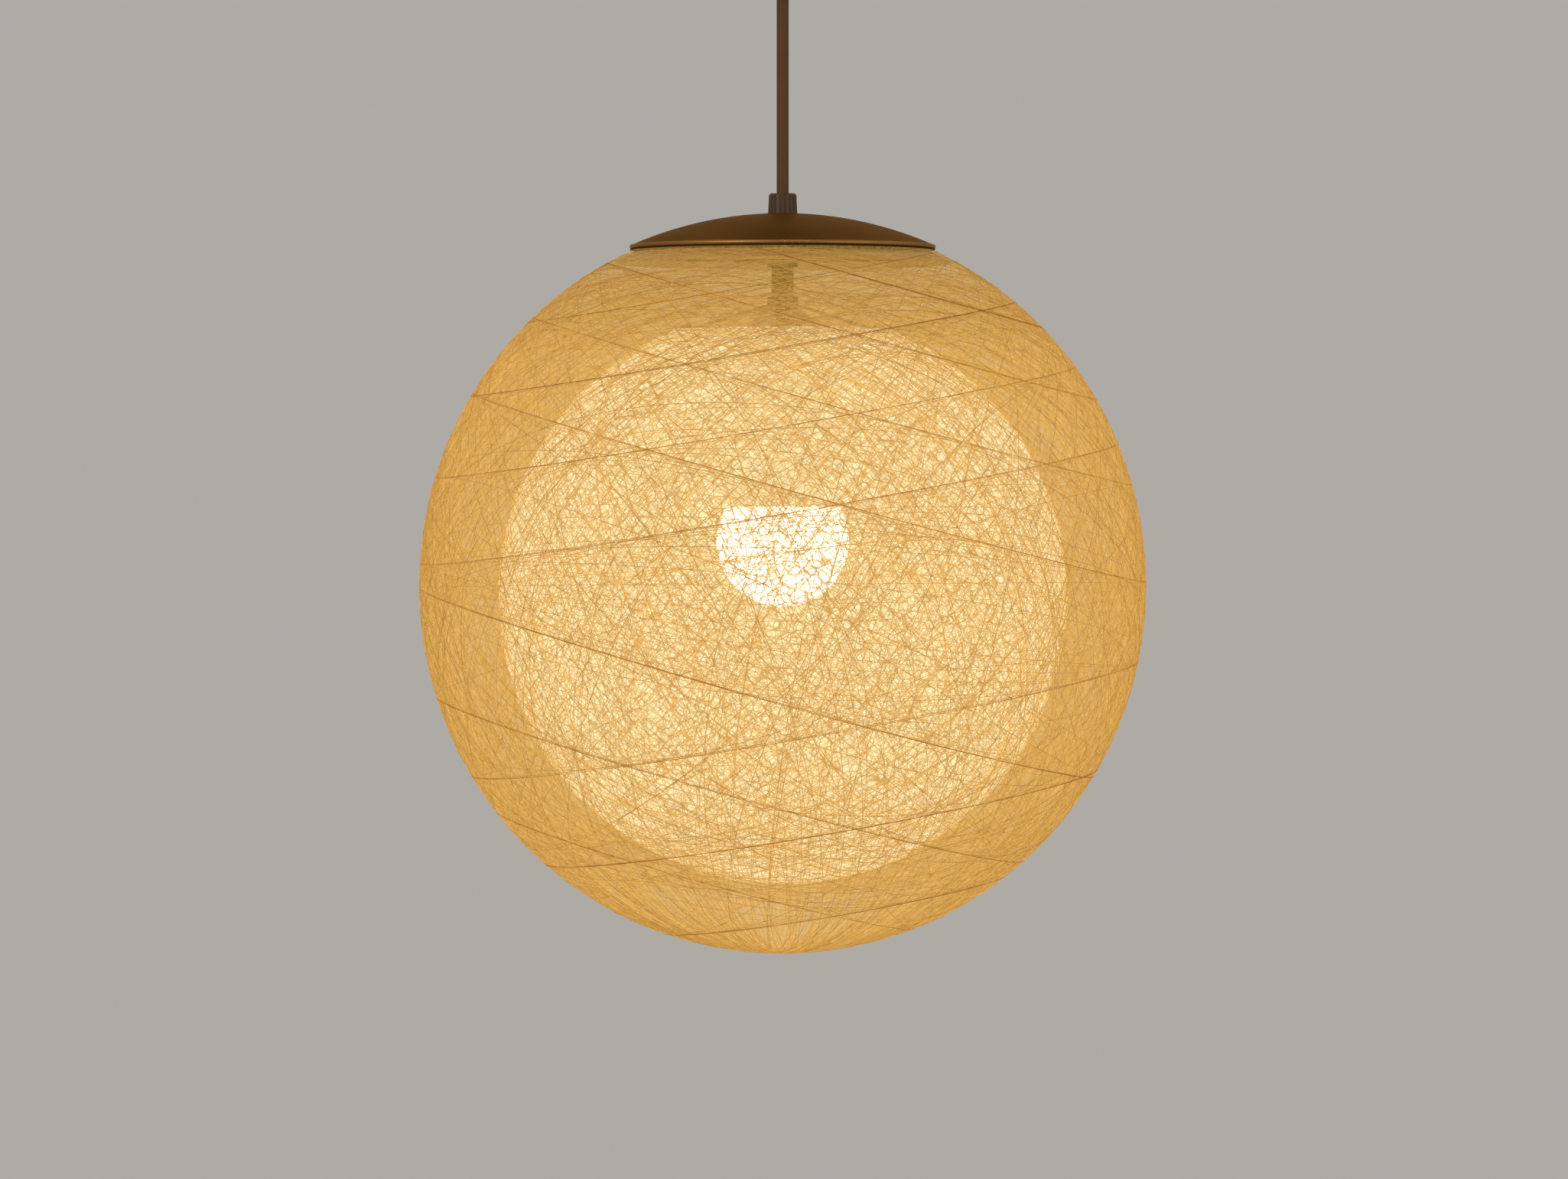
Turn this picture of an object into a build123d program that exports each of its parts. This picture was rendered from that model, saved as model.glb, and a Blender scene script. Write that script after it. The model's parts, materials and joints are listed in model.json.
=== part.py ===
"""A pendant lantern: two thread-wound globes, one inside the other, hung from a ceiling cup.

Millimetres, +Z up. The origin is the middle of the ceiling bracket's back face, so the lantern
hangs down along -Z. The pieces come in the order in which the light is put up: the ceiling
fitting, the cord, the metal cap, the stem with its two galleries and globes, the lampholder
and the LED bulb.
"""

import os
from math import cos, radians, sin, sqrt

from build123d import *

os.makedirs("parts", exist_ok=True)

# Gaps between pieces
running_gap = 0.05
seat_gap = 0.3
screw_land = 0.05

# Ceiling bracket: a strip with two ears bent down and a tab for the terminal block
bracket_width = 18.0
bracket_sheet = 2.0
ear_depth = 17.0
side_screw_depth = 11.0
slot_spacing = 60.0
slot_length = 14.0
slot_width = 5.0
tab_reach = 28.0
tab_width = 20.0

# Ceiling cup
cup_radius = 50.0
cup_height = 30.0
cup_sheet = 1.0
cup_corner = 6.0

# Side screws of the cup
side_screw_radius = 2.0
side_screw_length = 8.0
side_head_radius = 3.6
side_head_height = 2.4
driver_slot_width = 0.9
driver_slot_depth = 0.9

# Threaded tube size shared by the grips, the nuts and the stem
tube_radius = 5.0
nut_wall = 2.0
small_nut_wall = 1.0
nut_height = 4.0

# Ceiling cord grip, with a trumpet mouth in which the cord can bend
ceiling_grip_height = 14.0
ceiling_grip_top_radius = 8.5
ceiling_grip_mouth_wall = 1.9
trumpet_flare = 2.55
pivot_depth = 4.0
grip_neck_spare = 2.0
grub_radius = 1.5
grub_recess = 1.0
key_flats = 1.5

# Terminal block
block_size = (18.0, 14.0, 11.0)
block_entry_spacing = 9.0
block_entry_drop = 7.0
block_corner = 1.2
block_tube_radius = 2.4
block_tube_bore = 1.5
block_screw_radius = 1.25
block_screw_spacing = 7.0
block_screw_recess = 1.0
fixing_screw_radius = 1.5
fixing_head_radius = 2.6
fixing_head_height = 1.6
fixing_head_chamfer = 0.4

# Cord
cord_diameter = 5.5
cord_drop = 97.4
cord_tail_spare = 4.0
conductor_radius = 0.9
conductor_spacing = 2.4
conductor_bend = 3.0

# Metal cap
cap_overhang = 0.25
dome_height = 14.0
dome_sheet = 1.0
dome_flat_radius = 9.5
bead_height = 2.0
bead_width = 2.5
bead_round = 0.9
felt_thickness = 0.5
cap_grip_height = 9.2
cap_grip_bottom_radius = 6.68
cap_grip_top_radius = 6.25
cap_grip_chamfer = 0.7
cap_nut_height = 3.5
cap_neck_spare = 1.0
cap_gland_gap = 0.9
flute_count = 18
flute_radius = 0.35

# Outer globe
globe_half_width = 165.0
globe_half_height = 167.3
globe_wall = 1.2
globe_mouth_radius = 69.15

# Outer rim ring and gallery
rim_sheet = 1.5
rim_bend_gap = 0.73
rim_skirt_width = 9.0
gallery_sheet = 1.5
gallery_hub_radius = 9.5
gallery_arm_width = 6.0
gallery_ring_width = 5.5
arm_count = 4
washer_sheet = 0.8
washer_radius = 8.5
rivet_radius = 1.5
rivet_head_radius = 2.5
rivet_head_height = 0.9
rivet_mouth_gap = 0.52

# Inner globe, its rim ring and gallery
globe_side_gap = 35.6
globe_height_gap = 36.2
inner_wall = 1.0
inner_mouth_radius = 49.57
inner_rim_skirt_width = 7.5
inner_foot_gap = 0.43
inner_foot_length = 5.5
inner_foot_step = 1.0
inner_hub_rise = 9.1

# Stem and its cord gland
stem_bore = 3.5
stem_length = 39.7
stem_entry_depth = 8.0
gland_radius = 7.5
gland_stem_length = 2.3
gland_cord_length = 5.0
gland_round = 1.2

# Lampholder
holder_side = 4.5
holder_wall = 2.2
holder_neck_radius = 8.5
holder_shoulder_radius = 10.5
holder_shoulder_drop = 1.3
holder_cone_height = 12.0
holder_cap_height = 19.0
holder_body_height = 33.0
holder_boss_radius = 8.0
holder_grub_rise = 1.0
holder_round = 1.5
insert_land = 1.15
insert_height = 4.5
holder_shell_sheet = 0.5
holder_shell_gap = 0.25
holder_shell_lip = 2.0
terminal_size = (6.0, 5.0, 5.0)
terminal_spacing = 16.0
terminal_screw_rise = 1.0
contact_room = 1.5
contact_reach = 3.0
contact_width = 5.0
contact_sheet = 0.5

# Bulb
bulb_radius = 30.0
bulb_wall = 1.2
bulb_joint_angle = 30.45
bulb_flank_length = 17.6
bulb_neck_step = 0.6
bulb_neck_length = 13.9
housing_wall = 1.5
thread_crest_radius = 13.1
thread_depth = 0.8
thread_pitch = 3.6
thread_crest_width = 0.72
thread_root_width = 1.08
thread_turns = 5
thread_sheet = 0.4
shell_rim_height = 1.8
shell_rim_step = 1.5
tip_radius = 4.8
tip_height = 1.5
tip_round = 1.0
insulator_height = 2.5
insulator_land = 1.0
sink_gap = 1.5
sink_sheet = 2.0
sink_skirt = 6.0
board_inset = 2.0
board_sheet = 1.2
chip_inset = 7.0
chip_size = (2.8, 3.5, 0.7)
chip_count = 14
driver_size = (15.0, 1.2, 30.0)
driver_parts_rise = 4.0
driver_parts_height = 12.0
capacitor_radius = 3.5
capacitor_side = 3.0
coil_size = (6.0, 5.0)
coil_side = 4.0
transformer_size = (8.0, 6.0)


def upright(angle=0.0, height=0.0):
    """The upright plane through the Z axis at a bearing: its x runs outward and its y runs up."""
    outward = (cos(radians(angle)), sin(radians(angle)), 0)
    return Plane(origin=(0, 0, height), x_dir=outward, z_dir=(outward[1], -outward[0], 0))


def facing(angle, radius, height):
    """The plane that stands at a bearing and a radius and faces outward, with its y up."""
    out = (cos(radians(angle)), sin(radians(angle)), 0)
    return Plane(origin=(radius * out[0], radius * out[1], height), x_dir=(-out[1], out[0], 0), z_dir=out)


def globe_radius(half_width, half_height, height):
    """The radius of a globe at a height above its middle."""
    return half_width * sqrt(1 - (height / half_height) ** 2)


def globe_level(half_width, half_height, radius):
    """The height above a globe's middle at which it has a radius."""
    return half_height * sqrt(1 - (radius / half_width) ** 2)


def globe_section(half_width, half_height, wall, mouth_height):
    """Half of a globe's wall, cut flat at its mouth, for a sketch on an upright plane."""
    Ellipse(half_width, half_height)
    Ellipse(half_width - wall, half_height - wall, mode=Mode.SUBTRACT)
    Rectangle(2 * half_width, 3 * half_height, align=(Align.MAX, Align.CENTER), mode=Mode.SUBTRACT)
    with Locations((0, mouth_height)):
        Rectangle(3 * half_width, half_height, align=(Align.CENTER, Align.MIN), mode=Mode.SUBTRACT)


def rim_points(half_width, half_height, wall, inner, bend, outer):
    """A rim ring's section: a flat flange, then a cone that follows the inside of the globe."""
    flange = globe_level(half_width - wall, half_height - wall, bend) - seat_gap
    edge = globe_level(half_width - wall, half_height - wall, outer) - seat_gap
    lean = sqrt((outer - bend) ** 2 + (flange - edge) ** 2)
    drop = rim_sheet * (outer - bend) / lean
    side = rim_sheet * (flange - edge) / lean
    return [
        (inner, flange),
        (bend, flange),
        (outer, edge),
        (outer - side, edge - drop),
        (bend - side / 2, flange - rim_sheet),
        (inner, flange - rim_sheet),
    ]


# Sizes that follow from the driving ones
cord_radius = cord_diameter / 2
cord_bore = cord_radius + running_gap
tube_hole = tube_radius + running_gap
screw_hole = grub_radius + running_gap
nut_flats = 2 * (tube_radius + nut_wall)
small_nut_flats = 2 * (tube_radius + small_nut_wall)
trumpet_mouth_radius = cord_radius + trumpet_flare
ceiling_grip_mouth_radius = trumpet_mouth_radius + ceiling_grip_mouth_wall
cap_radius = globe_mouth_radius + cap_overhang
inner_half_width = globe_half_width - globe_side_gap
inner_half_height = globe_half_height - globe_height_gap
globe_mouth_height = globe_level(globe_half_width, globe_half_height, globe_mouth_radius)
inner_mouth_height = globe_level(inner_half_width, inner_half_height, inner_mouth_radius)

# The clear mouths inside the two globes' walls set the rims, the rivets and the galleries
clear_mouth = globe_radius(globe_half_width - globe_wall, globe_half_height - globe_wall, globe_mouth_height)
rivet_ring = clear_mouth - rivet_mouth_gap - rivet_head_radius
rim_inner_radius = rivet_ring - gallery_ring_width / 2
rim_bend_radius = clear_mouth + rim_bend_gap
rim_outer_radius = rim_bend_radius + rim_skirt_width
inner_clear_mouth = globe_radius(
    inner_half_width - inner_wall, inner_half_height - inner_wall, inner_mouth_height
)
inner_foot_radius = inner_clear_mouth - inner_foot_gap
inner_rim_inner_radius = inner_foot_radius - inner_foot_length
inner_rim_bend_radius = inner_clear_mouth + rim_bend_gap
inner_rim_outer_radius = inner_rim_bend_radius + inner_rim_skirt_width
inner_rivet_ring = inner_rim_inner_radius + inner_foot_length / 2

# Levels, from the ceiling down
cup_floor_z = -cup_height
grip_mouth_z = cup_floor_z - ceiling_grip_height
pivot_z = grip_mouth_z + pivot_depth
cap_grip_top_z = grip_mouth_z - cord_drop
dome_top_z = cap_grip_top_z - cap_grip_height
cap_nut_z = dome_top_z - dome_sheet - cap_nut_height
cap_neck_z = cap_nut_z - cap_neck_spare
bead_top_z = dome_top_z - dome_height
bead_bottom_z = bead_top_z - bead_height
globe_mouth_z = bead_bottom_z - felt_thickness
globe_z = globe_mouth_z - globe_mouth_height
gland_top_z = cap_neck_z - cap_gland_gap
stem_top_z = gland_top_z - gland_cord_length
gland_bottom_z = stem_top_z - gland_stem_length
stem_bottom_z = stem_top_z - stem_length
inner_hub_z = stem_bottom_z + stem_entry_depth
inner_mouth_z = inner_hub_z - inner_hub_rise
inner_globe_z = inner_mouth_z - inner_mouth_height


# ---------------------------------------------------------------- ceiling fitting
ear_reach = sqrt((cup_radius - cup_sheet) ** 2 - (bracket_width / 2) ** 2) - seat_gap
side_screw_z = -side_screw_depth

with BuildPart() as ceiling_bracket:
    with BuildSketch(Plane.XY.offset(-bracket_sheet)):
        Rectangle(2 * ear_reach, bracket_width)
        Rectangle(tab_width, tab_reach, align=(Align.CENTER, Align.MIN))
        with Locations((-slot_spacing / 2, 0), (slot_spacing / 2, 0)):
            SlotOverall(slot_length, slot_width, mode=Mode.SUBTRACT)
    extrude(amount=bracket_sheet)
    with BuildSketch(Plane.XY.offset(-ear_depth)):
        for side in (-1, 1):
            with Locations((side * (ear_reach - bracket_sheet / 2), 0)):
                Rectangle(bracket_sheet, bracket_width)
    extrude(amount=ear_depth - bracket_sheet)
    with BuildSketch(Plane.YZ.offset(-cup_radius)):
        with Locations((0, side_screw_z)):
            Circle(side_screw_radius + running_gap)
    extrude(amount=2 * cup_radius, mode=Mode.SUBTRACT)
    with BuildSketch(Plane.XY.offset(-bracket_sheet)):
        with Locations((0, tab_reach - block_size[1] / 2)):
            Circle(fixing_screw_radius + running_gap)
    extrude(amount=bracket_sheet, mode=Mode.SUBTRACT)
ceiling_bracket.part.label = "ceiling_bracket"
export_step(ceiling_bracket.part, "parts/ceiling_bracket.step")

with BuildPart() as ceiling_cup:
    with BuildSketch(upright()):
        with BuildLine():
            outside = [(0, cup_floor_z), (cup_radius, cup_floor_z), (cup_radius, 0)]
            inner_radius = cup_radius - cup_sheet
            inside_z = cup_floor_z + cup_sheet
            inside = [(inner_radius, 0), (inner_radius, inside_z), (0, inside_z)]
            FilletPolyline(*outside, radius=cup_corner)
            FilletPolyline(*inside, radius=cup_corner - cup_sheet)
            Line(outside[-1], inside[0])
            Line(inside[-1], outside[0])
        make_face()
    revolve(axis=Axis.Z)
    with BuildSketch(Plane.XY.offset(cup_floor_z)):
        Circle(tube_hole)
    extrude(amount=cup_sheet, mode=Mode.SUBTRACT)
    with BuildSketch(Plane.YZ.offset(-cup_radius)):
        with Locations((0, side_screw_z)):
            Circle(side_screw_radius + running_gap)
    extrude(amount=2 * cup_radius, mode=Mode.SUBTRACT)
ceiling_cup.part.label = "ceiling_cup"
export_step(ceiling_cup.part, "parts/ceiling_cup.step")

with BuildPart() as cup_screws:
    for bearing in (0, 180):
        with BuildSketch(facing(bearing, cup_radius + screw_land, side_screw_z)):
            Circle(side_head_radius)
        extrude(amount=side_head_height)
        with BuildSketch(facing(bearing, cup_radius + screw_land, side_screw_z)):
            Circle(side_screw_radius)
        extrude(amount=-side_screw_length)
        head_face = cup_radius + screw_land + side_head_height
        with BuildSketch(facing(bearing, head_face, side_screw_z)):
            Rectangle(2 * side_head_radius, driver_slot_width)
        extrude(amount=-driver_slot_depth, mode=Mode.SUBTRACT)
cup_screws.part.label = "cup_screws"
export_step(cup_screws.part, "parts/cup_screws.step")

# The cup's grip: collar below the cup, threaded neck through it, trumpet mouth for the cord
grip_neck_top_z = cup_floor_z + cup_sheet + nut_height + grip_neck_spare
tail_bottom_z = pivot_z + cord_radius + seat_gap
mouth_top_radius = cord_radius + seat_gap

with BuildPart() as ceiling_grip:
    with BuildSketch(upright()):
        with BuildLine():
            Polyline(
                (cord_bore, grip_neck_top_z),
                (tube_radius, grip_neck_top_z),
                (tube_radius, cup_floor_z),
                (ceiling_grip_top_radius, cup_floor_z),
                (ceiling_grip_mouth_radius, grip_mouth_z),
                (trumpet_mouth_radius, grip_mouth_z),
                (mouth_top_radius, pivot_z),
                (mouth_top_radius, tail_bottom_z),
                (cord_bore, tail_bottom_z),
                close=True,
            )
        make_face()
    revolve(axis=Axis.Z)
    grub_z = (cup_floor_z + tail_bottom_z) / 2
    with BuildSketch(Plane.XZ.offset(-ceiling_grip_top_radius)):
        with Locations((0, grub_z)):
            Circle(screw_hole)
    extrude(amount=ceiling_grip_top_radius, mode=Mode.SUBTRACT)
ceiling_grip.part.label = "ceiling_grip"
export_step(ceiling_grip.part, "parts/ceiling_grip.step")

# Grub screws: one in each place where the cord is held
cap_grub_z = dome_top_z + cap_grip_height / 2
gland_grub_z = (stem_top_z + gland_top_z) / 2
grub_screws = {
    "ceiling_grip_screw": (grub_z, ceiling_grip_mouth_radius),
    "cap_grip_screw": (cap_grub_z, cap_grip_top_radius),
    "gland_screw": (gland_grub_z, gland_radius),
}
for name, (level, reach) in grub_screws.items():
    with BuildPart() as grub_screw:
        with BuildSketch(facing(90, reach - grub_recess, level)):
            Circle(grub_radius)
        extrude(amount=-(reach - grub_recess - cord_bore))
        with BuildSketch(facing(90, reach - grub_recess, level)):
            RegularPolygon(key_flats / 2, 6, major_radius=False)
        extrude(amount=-grub_recess, mode=Mode.SUBTRACT)
    grub_screw.part.label = name
    export_step(grub_screw.part, f"parts/{name}.step")

# Hex nuts on the threaded tube size: level of the underside, height, width across flats
inner_nut_z = inner_hub_z + gallery_sheet
rim = rim_points(
    globe_half_width, globe_half_height, globe_wall, rim_inner_radius, rim_bend_radius, rim_outer_radius
)
rim_flange_z = globe_z + rim[0][1]
gallery_top_z = rim_flange_z - rim_sheet
gallery_bottom_z = gallery_top_z - gallery_sheet
washer_top_z = gallery_top_z + washer_sheet
hex_nuts = {
    "ceiling_grip_nut": (cup_floor_z + cup_sheet, nut_height, nut_flats),
    "cap_grip_nut": (cap_nut_z, cap_nut_height, nut_flats),
    "gallery_top_nut": (washer_top_z, gland_bottom_z - washer_top_z, small_nut_flats),
    "gallery_bottom_nut": (gallery_bottom_z - nut_height, nut_height, small_nut_flats),
    "inner_gallery_nut": (inner_nut_z, nut_height, small_nut_flats),
}
for name, (level, height, flats) in hex_nuts.items():
    with BuildPart() as hex_nut:
        with BuildSketch(Plane.XY.offset(level)):
            RegularPolygon(flats / 2, 6, major_radius=False)
            Circle(tube_hole, mode=Mode.SUBTRACT)
        extrude(amount=height)
    hex_nut.part.label = name
    export_step(hex_nut.part, f"parts/{name}.step")

# Terminal block under the bracket's tab
block_y = tab_reach - block_size[1] / 2
block_top_z = -bracket_sheet
entry_z = block_top_z - block_entry_drop

with BuildPart() as terminal_block:
    with BuildSketch(Plane.XY.offset(block_top_z - block_size[2])):
        with Locations((0, block_y)):
            Rectangle(block_size[0], block_size[1])
    extrude(amount=block_size[2])
    fillet(terminal_block.edges().filter_by(Axis.Z), radius=block_corner)
    with BuildSketch(Plane.XZ.offset(-tab_reach)):
        for side in (-1, 1):
            with Locations((side * block_entry_spacing / 2, entry_z)):
                Circle(block_tube_radius + running_gap)
    extrude(amount=block_size[1], mode=Mode.SUBTRACT)
    with BuildSketch(Plane.XY.offset(block_top_z - block_size[2])):
        for side in (-1, 1):
            for along in (-1, 1):
                with Locations((side * block_entry_spacing / 2, block_y + along * block_screw_spacing / 2)):
                    Circle(block_screw_radius + 2 * running_gap)
    extrude(amount=block_size[2] - block_entry_drop, mode=Mode.SUBTRACT)
    with BuildSketch(Plane.XY.offset(block_top_z)):
        with Locations((0, block_y)):
            Circle(fixing_screw_radius + running_gap)
    extrude(amount=-block_size[2], mode=Mode.SUBTRACT)
terminal_block.part.label = "terminal_block"
export_step(terminal_block.part, "parts/terminal_block.step")

with BuildPart() as terminal_tubes:
    with BuildSketch(Plane.XZ.offset(-tab_reach)):
        for side in (-1, 1):
            with Locations((side * block_entry_spacing / 2, entry_z)):
                Circle(block_tube_radius)
                Circle(block_tube_bore, mode=Mode.SUBTRACT)
    extrude(amount=block_size[1])
    with BuildSketch(Plane.XY.offset(block_top_z - block_size[2])):
        for side in (-1, 1):
            for along in (-1, 1):
                with Locations((side * block_entry_spacing / 2, block_y + along * block_screw_spacing / 2)):
                    Circle(block_screw_radius + running_gap)
    extrude(amount=block_size[2] - block_entry_drop, mode=Mode.SUBTRACT)
terminal_tubes.part.label = "terminal_tubes"
export_step(terminal_tubes.part, "parts/terminal_tubes.step")

with BuildPart() as terminal_screws:
    screw_tip_z = entry_z - conductor_radius - running_gap
    with BuildSketch(Plane.XY.offset(screw_tip_z)):
        for side in (-1, 1):
            for along in (-1, 1):
                with Locations((side * block_entry_spacing / 2, block_y + along * block_screw_spacing / 2)):
                    Circle(block_screw_radius)
    extrude(amount=block_top_z - block_size[2] + block_screw_recess - screw_tip_z)
terminal_screws.part.label = "terminal_screws"
export_step(terminal_screws.part, "parts/terminal_screws.step")

with BuildPart() as block_screw:
    with BuildSketch(Plane.XY):
        with Locations((0, block_y)):
            Circle(fixing_screw_radius)
    extrude(amount=block_top_z - block_size[2])
    with BuildSketch(Plane.XY.offset(block_top_z - block_size[2])):
        with Locations((0, block_y)):
            Circle(fixing_head_radius)
    extrude(amount=-fixing_head_height)
    chamfer(block_screw.faces().sort_by(Axis.Z)[0].edges(), length=fixing_head_chamfer)
block_screw.part.label = "block_screw"
export_step(block_screw.part, "parts/block_screw.step")

# ---------------------------------------------------------------- cord
tail_top_z = grip_neck_top_z + cord_tail_spare

with BuildPart() as cord_tail:
    with BuildSketch(Plane.XY.offset(tail_bottom_z)):
        Circle(cord_radius)
    extrude(amount=tail_top_z - tail_bottom_z)
cord_tail.part.label = "cord_tail"
export_step(cord_tail.part, "parts/cord_tail.step")

for name, side in {"live_conductor": -1, "neutral_conductor": 1}.items():
    start = (side * conductor_spacing / 2, 0, tail_top_z)
    end = (side * block_entry_spacing / 2, block_y, entry_z)
    with BuildPart() as conductor:
        with BuildLine():
            route = FilletPolyline(
                start,
                (start[0], 0, entry_z),
                (end[0], tab_reach - block_size[1] - 2 * conductor_bend, entry_z),
                end,
                radius=conductor_bend,
            )
        with BuildSketch(Plane(origin=route @ 0, z_dir=route % 0)):
            Circle(conductor_radius)
        sweep()
    conductor.part.label = name
    export_step(conductor.part, f"parts/{name}.step")

with BuildPart() as cord_bend:
    with BuildSketch(upright(height=pivot_z)):
        Circle(cord_radius)
        Rectangle(cord_radius, cord_diameter, align=(Align.MAX, Align.CENTER), mode=Mode.SUBTRACT)
    revolve(axis=Axis.Z)
cord_bend.part.label = "cord_bend"
export_step(cord_bend.part, "parts/cord_bend.step")

with BuildPart() as supply_cord:
    with BuildSketch(Plane.XY.offset(stem_top_z)):
        Circle(cord_radius)
    extrude(amount=pivot_z - stem_top_z)
    with BuildSketch(upright(height=pivot_z)):
        Circle(cord_radius + seat_gap)
        Rectangle(cup_radius, cup_radius, align=(Align.MAX, Align.CENTER), mode=Mode.SUBTRACT)
    revolve(axis=Axis.Z, mode=Mode.SUBTRACT)
supply_cord.part.label = "supply_cord"
export_step(supply_cord.part, "parts/supply_cord.step")

# ---------------------------------------------------------------- metal cap
dome_edge_radius = cap_radius - bead_width / 2
dome_centre = (dome_flat_radius**2 + dome_height**2 - dome_edge_radius**2) / (2 * dome_height)
dome_sphere_radius = sqrt(dome_edge_radius**2 + dome_centre**2)


def dome_point(level, inset=0.0):
    """The point at a level above the bead on the dome's sphere, or on its inner face with an inset."""
    return (sqrt((dome_sphere_radius - inset) ** 2 - (level - dome_centre) ** 2), level)


with BuildPart() as cap_dome:
    with BuildSketch(upright(height=bead_top_z)):
        with BuildLine():
            outside = [dome_point(dome_height), dome_point(dome_height / 2), dome_point(0)]
            inside_top = dome_height - dome_sheet
            inside = [dome_point(level, dome_sheet) for level in (0, dome_height / 2, inside_top)]
            ThreePointArc(*outside)
            Line(outside[-1], inside[0])
            ThreePointArc(*inside)
            Polyline(inside[-1], (tube_hole, inside_top), (tube_hole, dome_height), outside[0])
        make_face()
    revolve(axis=Axis.Z)
cap_dome.part.label = "cap_dome"
export_step(cap_dome.part, "parts/cap_dome.step")

with BuildPart() as cap_bead:
    with BuildSketch(upright(height=bead_bottom_z)):
        with Locations((cap_radius - bead_width, 0)):
            Rectangle(bead_width, bead_height, align=(Align.MIN, Align.MIN))
        fillet(vertices().sort_by(Axis.X)[-2:], radius=bead_round)
    revolve(axis=Axis.Z)
cap_bead.part.label = "cap_bead"
export_step(cap_bead.part, "parts/cap_bead.step")

with BuildPart() as cap_felt:
    with BuildSketch(Plane.XY.offset(globe_mouth_z)):
        Circle(globe_mouth_radius)
        Circle(clear_mouth, mode=Mode.SUBTRACT)
    extrude(amount=felt_thickness)
cap_felt.part.label = "cap_felt"
export_step(cap_felt.part, "parts/cap_felt.step")

with BuildPart() as cap_grip:
    with BuildSketch(upright()):
        with BuildLine():
            Polyline(
                (cord_bore, cap_neck_z),
                (tube_radius, cap_neck_z),
                (tube_radius, dome_top_z),
                (cap_grip_bottom_radius, dome_top_z),
                (cap_grip_top_radius, cap_grip_top_z - cap_grip_chamfer),
                (cap_grip_top_radius - cap_grip_chamfer, cap_grip_top_z),
                (cord_bore, cap_grip_top_z),
                close=True,
            )
        make_face()
    revolve(axis=Axis.Z)
    for k in range(flute_count):
        bearing = 360 * k / flute_count
        with BuildSketch(Plane.XY.offset(dome_top_z)):
            with PolarLocations(cap_grip_bottom_radius, 1, start_angle=bearing):
                Circle(flute_radius)
        with BuildSketch(Plane.XY.offset(cap_grip_top_z)):
            with PolarLocations(cap_grip_top_radius, 1, start_angle=bearing):
                Circle(flute_radius)
        loft(mode=Mode.SUBTRACT)
    with BuildSketch(Plane.XZ.offset(-cap_radius)):
        with Locations((0, cap_grub_z)):
            Circle(screw_hole)
    extrude(amount=cap_radius, mode=Mode.SUBTRACT)
cap_grip.part.label = "cap_grip"
export_step(cap_grip.part, "parts/cap_grip.step")

# ---------------------------------------------------------------- stem, gland, washer
with BuildPart() as stem:
    with BuildSketch(Plane.XY.offset(stem_bottom_z)):
        Circle(tube_radius)
        Circle(stem_bore, mode=Mode.SUBTRACT)
    extrude(amount=stem_top_z - stem_bottom_z)
stem.part.label = "stem"
export_step(stem.part, "parts/stem.step")

with BuildPart() as cord_gland:
    with BuildSketch(Plane.XY.offset(gland_bottom_z)):
        Circle(gland_radius)
    extrude(amount=gland_top_z - gland_bottom_z)
    fillet(cord_gland.edges().group_by(Axis.Z)[-1], radius=gland_round)
    with BuildSketch(Plane.XY.offset(gland_bottom_z)):
        Circle(tube_hole)
    extrude(amount=gland_stem_length, mode=Mode.SUBTRACT)
    with BuildSketch(Plane.XY.offset(stem_top_z)):
        Circle(cord_bore)
    extrude(amount=gland_cord_length, mode=Mode.SUBTRACT)
    with BuildSketch(Plane.XZ.offset(-gland_radius)):
        with Locations((0, gland_grub_z)):
            Circle(screw_hole)
    extrude(amount=gland_radius, mode=Mode.SUBTRACT)
cord_gland.part.label = "cord_gland"
export_step(cord_gland.part, "parts/cord_gland.step")

with BuildPart() as gallery_washer:
    with BuildSketch(Plane.XY.offset(gallery_top_z)):
        Circle(washer_radius)
        Circle(tube_hole, mode=Mode.SUBTRACT)
    extrude(amount=washer_sheet)
gallery_washer.part.label = "gallery_washer"
export_step(gallery_washer.part, "parts/gallery_washer.step")

# ---------------------------------------------------------------- outer globe and its gallery
with BuildPart() as outer_globe:
    with BuildSketch(upright(height=globe_z)):
        globe_section(globe_half_width, globe_half_height, globe_wall, globe_mouth_height)
    revolve(axis=Axis.Z)
outer_globe.part.label = "outer_globe"
export_step(outer_globe.part, "parts/outer_globe.step")

with BuildPart() as outer_rim_ring:
    with BuildSketch(upright(height=globe_z)):
        with BuildLine():
            Polyline(*rim, close=True)
        make_face()
    revolve(axis=Axis.Z)
    with BuildSketch(Plane.XY.offset(rim_flange_z)):
        with PolarLocations(rivet_ring, arm_count):
            Circle(rivet_radius + running_gap)
    extrude(amount=-rim_sheet, mode=Mode.SUBTRACT)
outer_rim_ring.part.label = "outer_rim_ring"
export_step(outer_rim_ring.part, "parts/outer_rim_ring.step")

with BuildPart() as outer_gallery:
    with BuildSketch(Plane.XY.offset(gallery_bottom_z)):
        Circle(rim_inner_radius + gallery_ring_width)
        Circle(rim_inner_radius, mode=Mode.SUBTRACT)
        with PolarLocations(0, arm_count):
            Rectangle(rivet_ring, gallery_arm_width, align=(Align.MIN, Align.CENTER))
        Circle(gallery_hub_radius)
        Circle(tube_hole, mode=Mode.SUBTRACT)
        with PolarLocations(rivet_ring, arm_count):
            Circle(rivet_radius + running_gap, mode=Mode.SUBTRACT)
    extrude(amount=gallery_sheet)
outer_gallery.part.label = "outer_gallery"
export_step(outer_gallery.part, "parts/outer_gallery.step")

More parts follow.
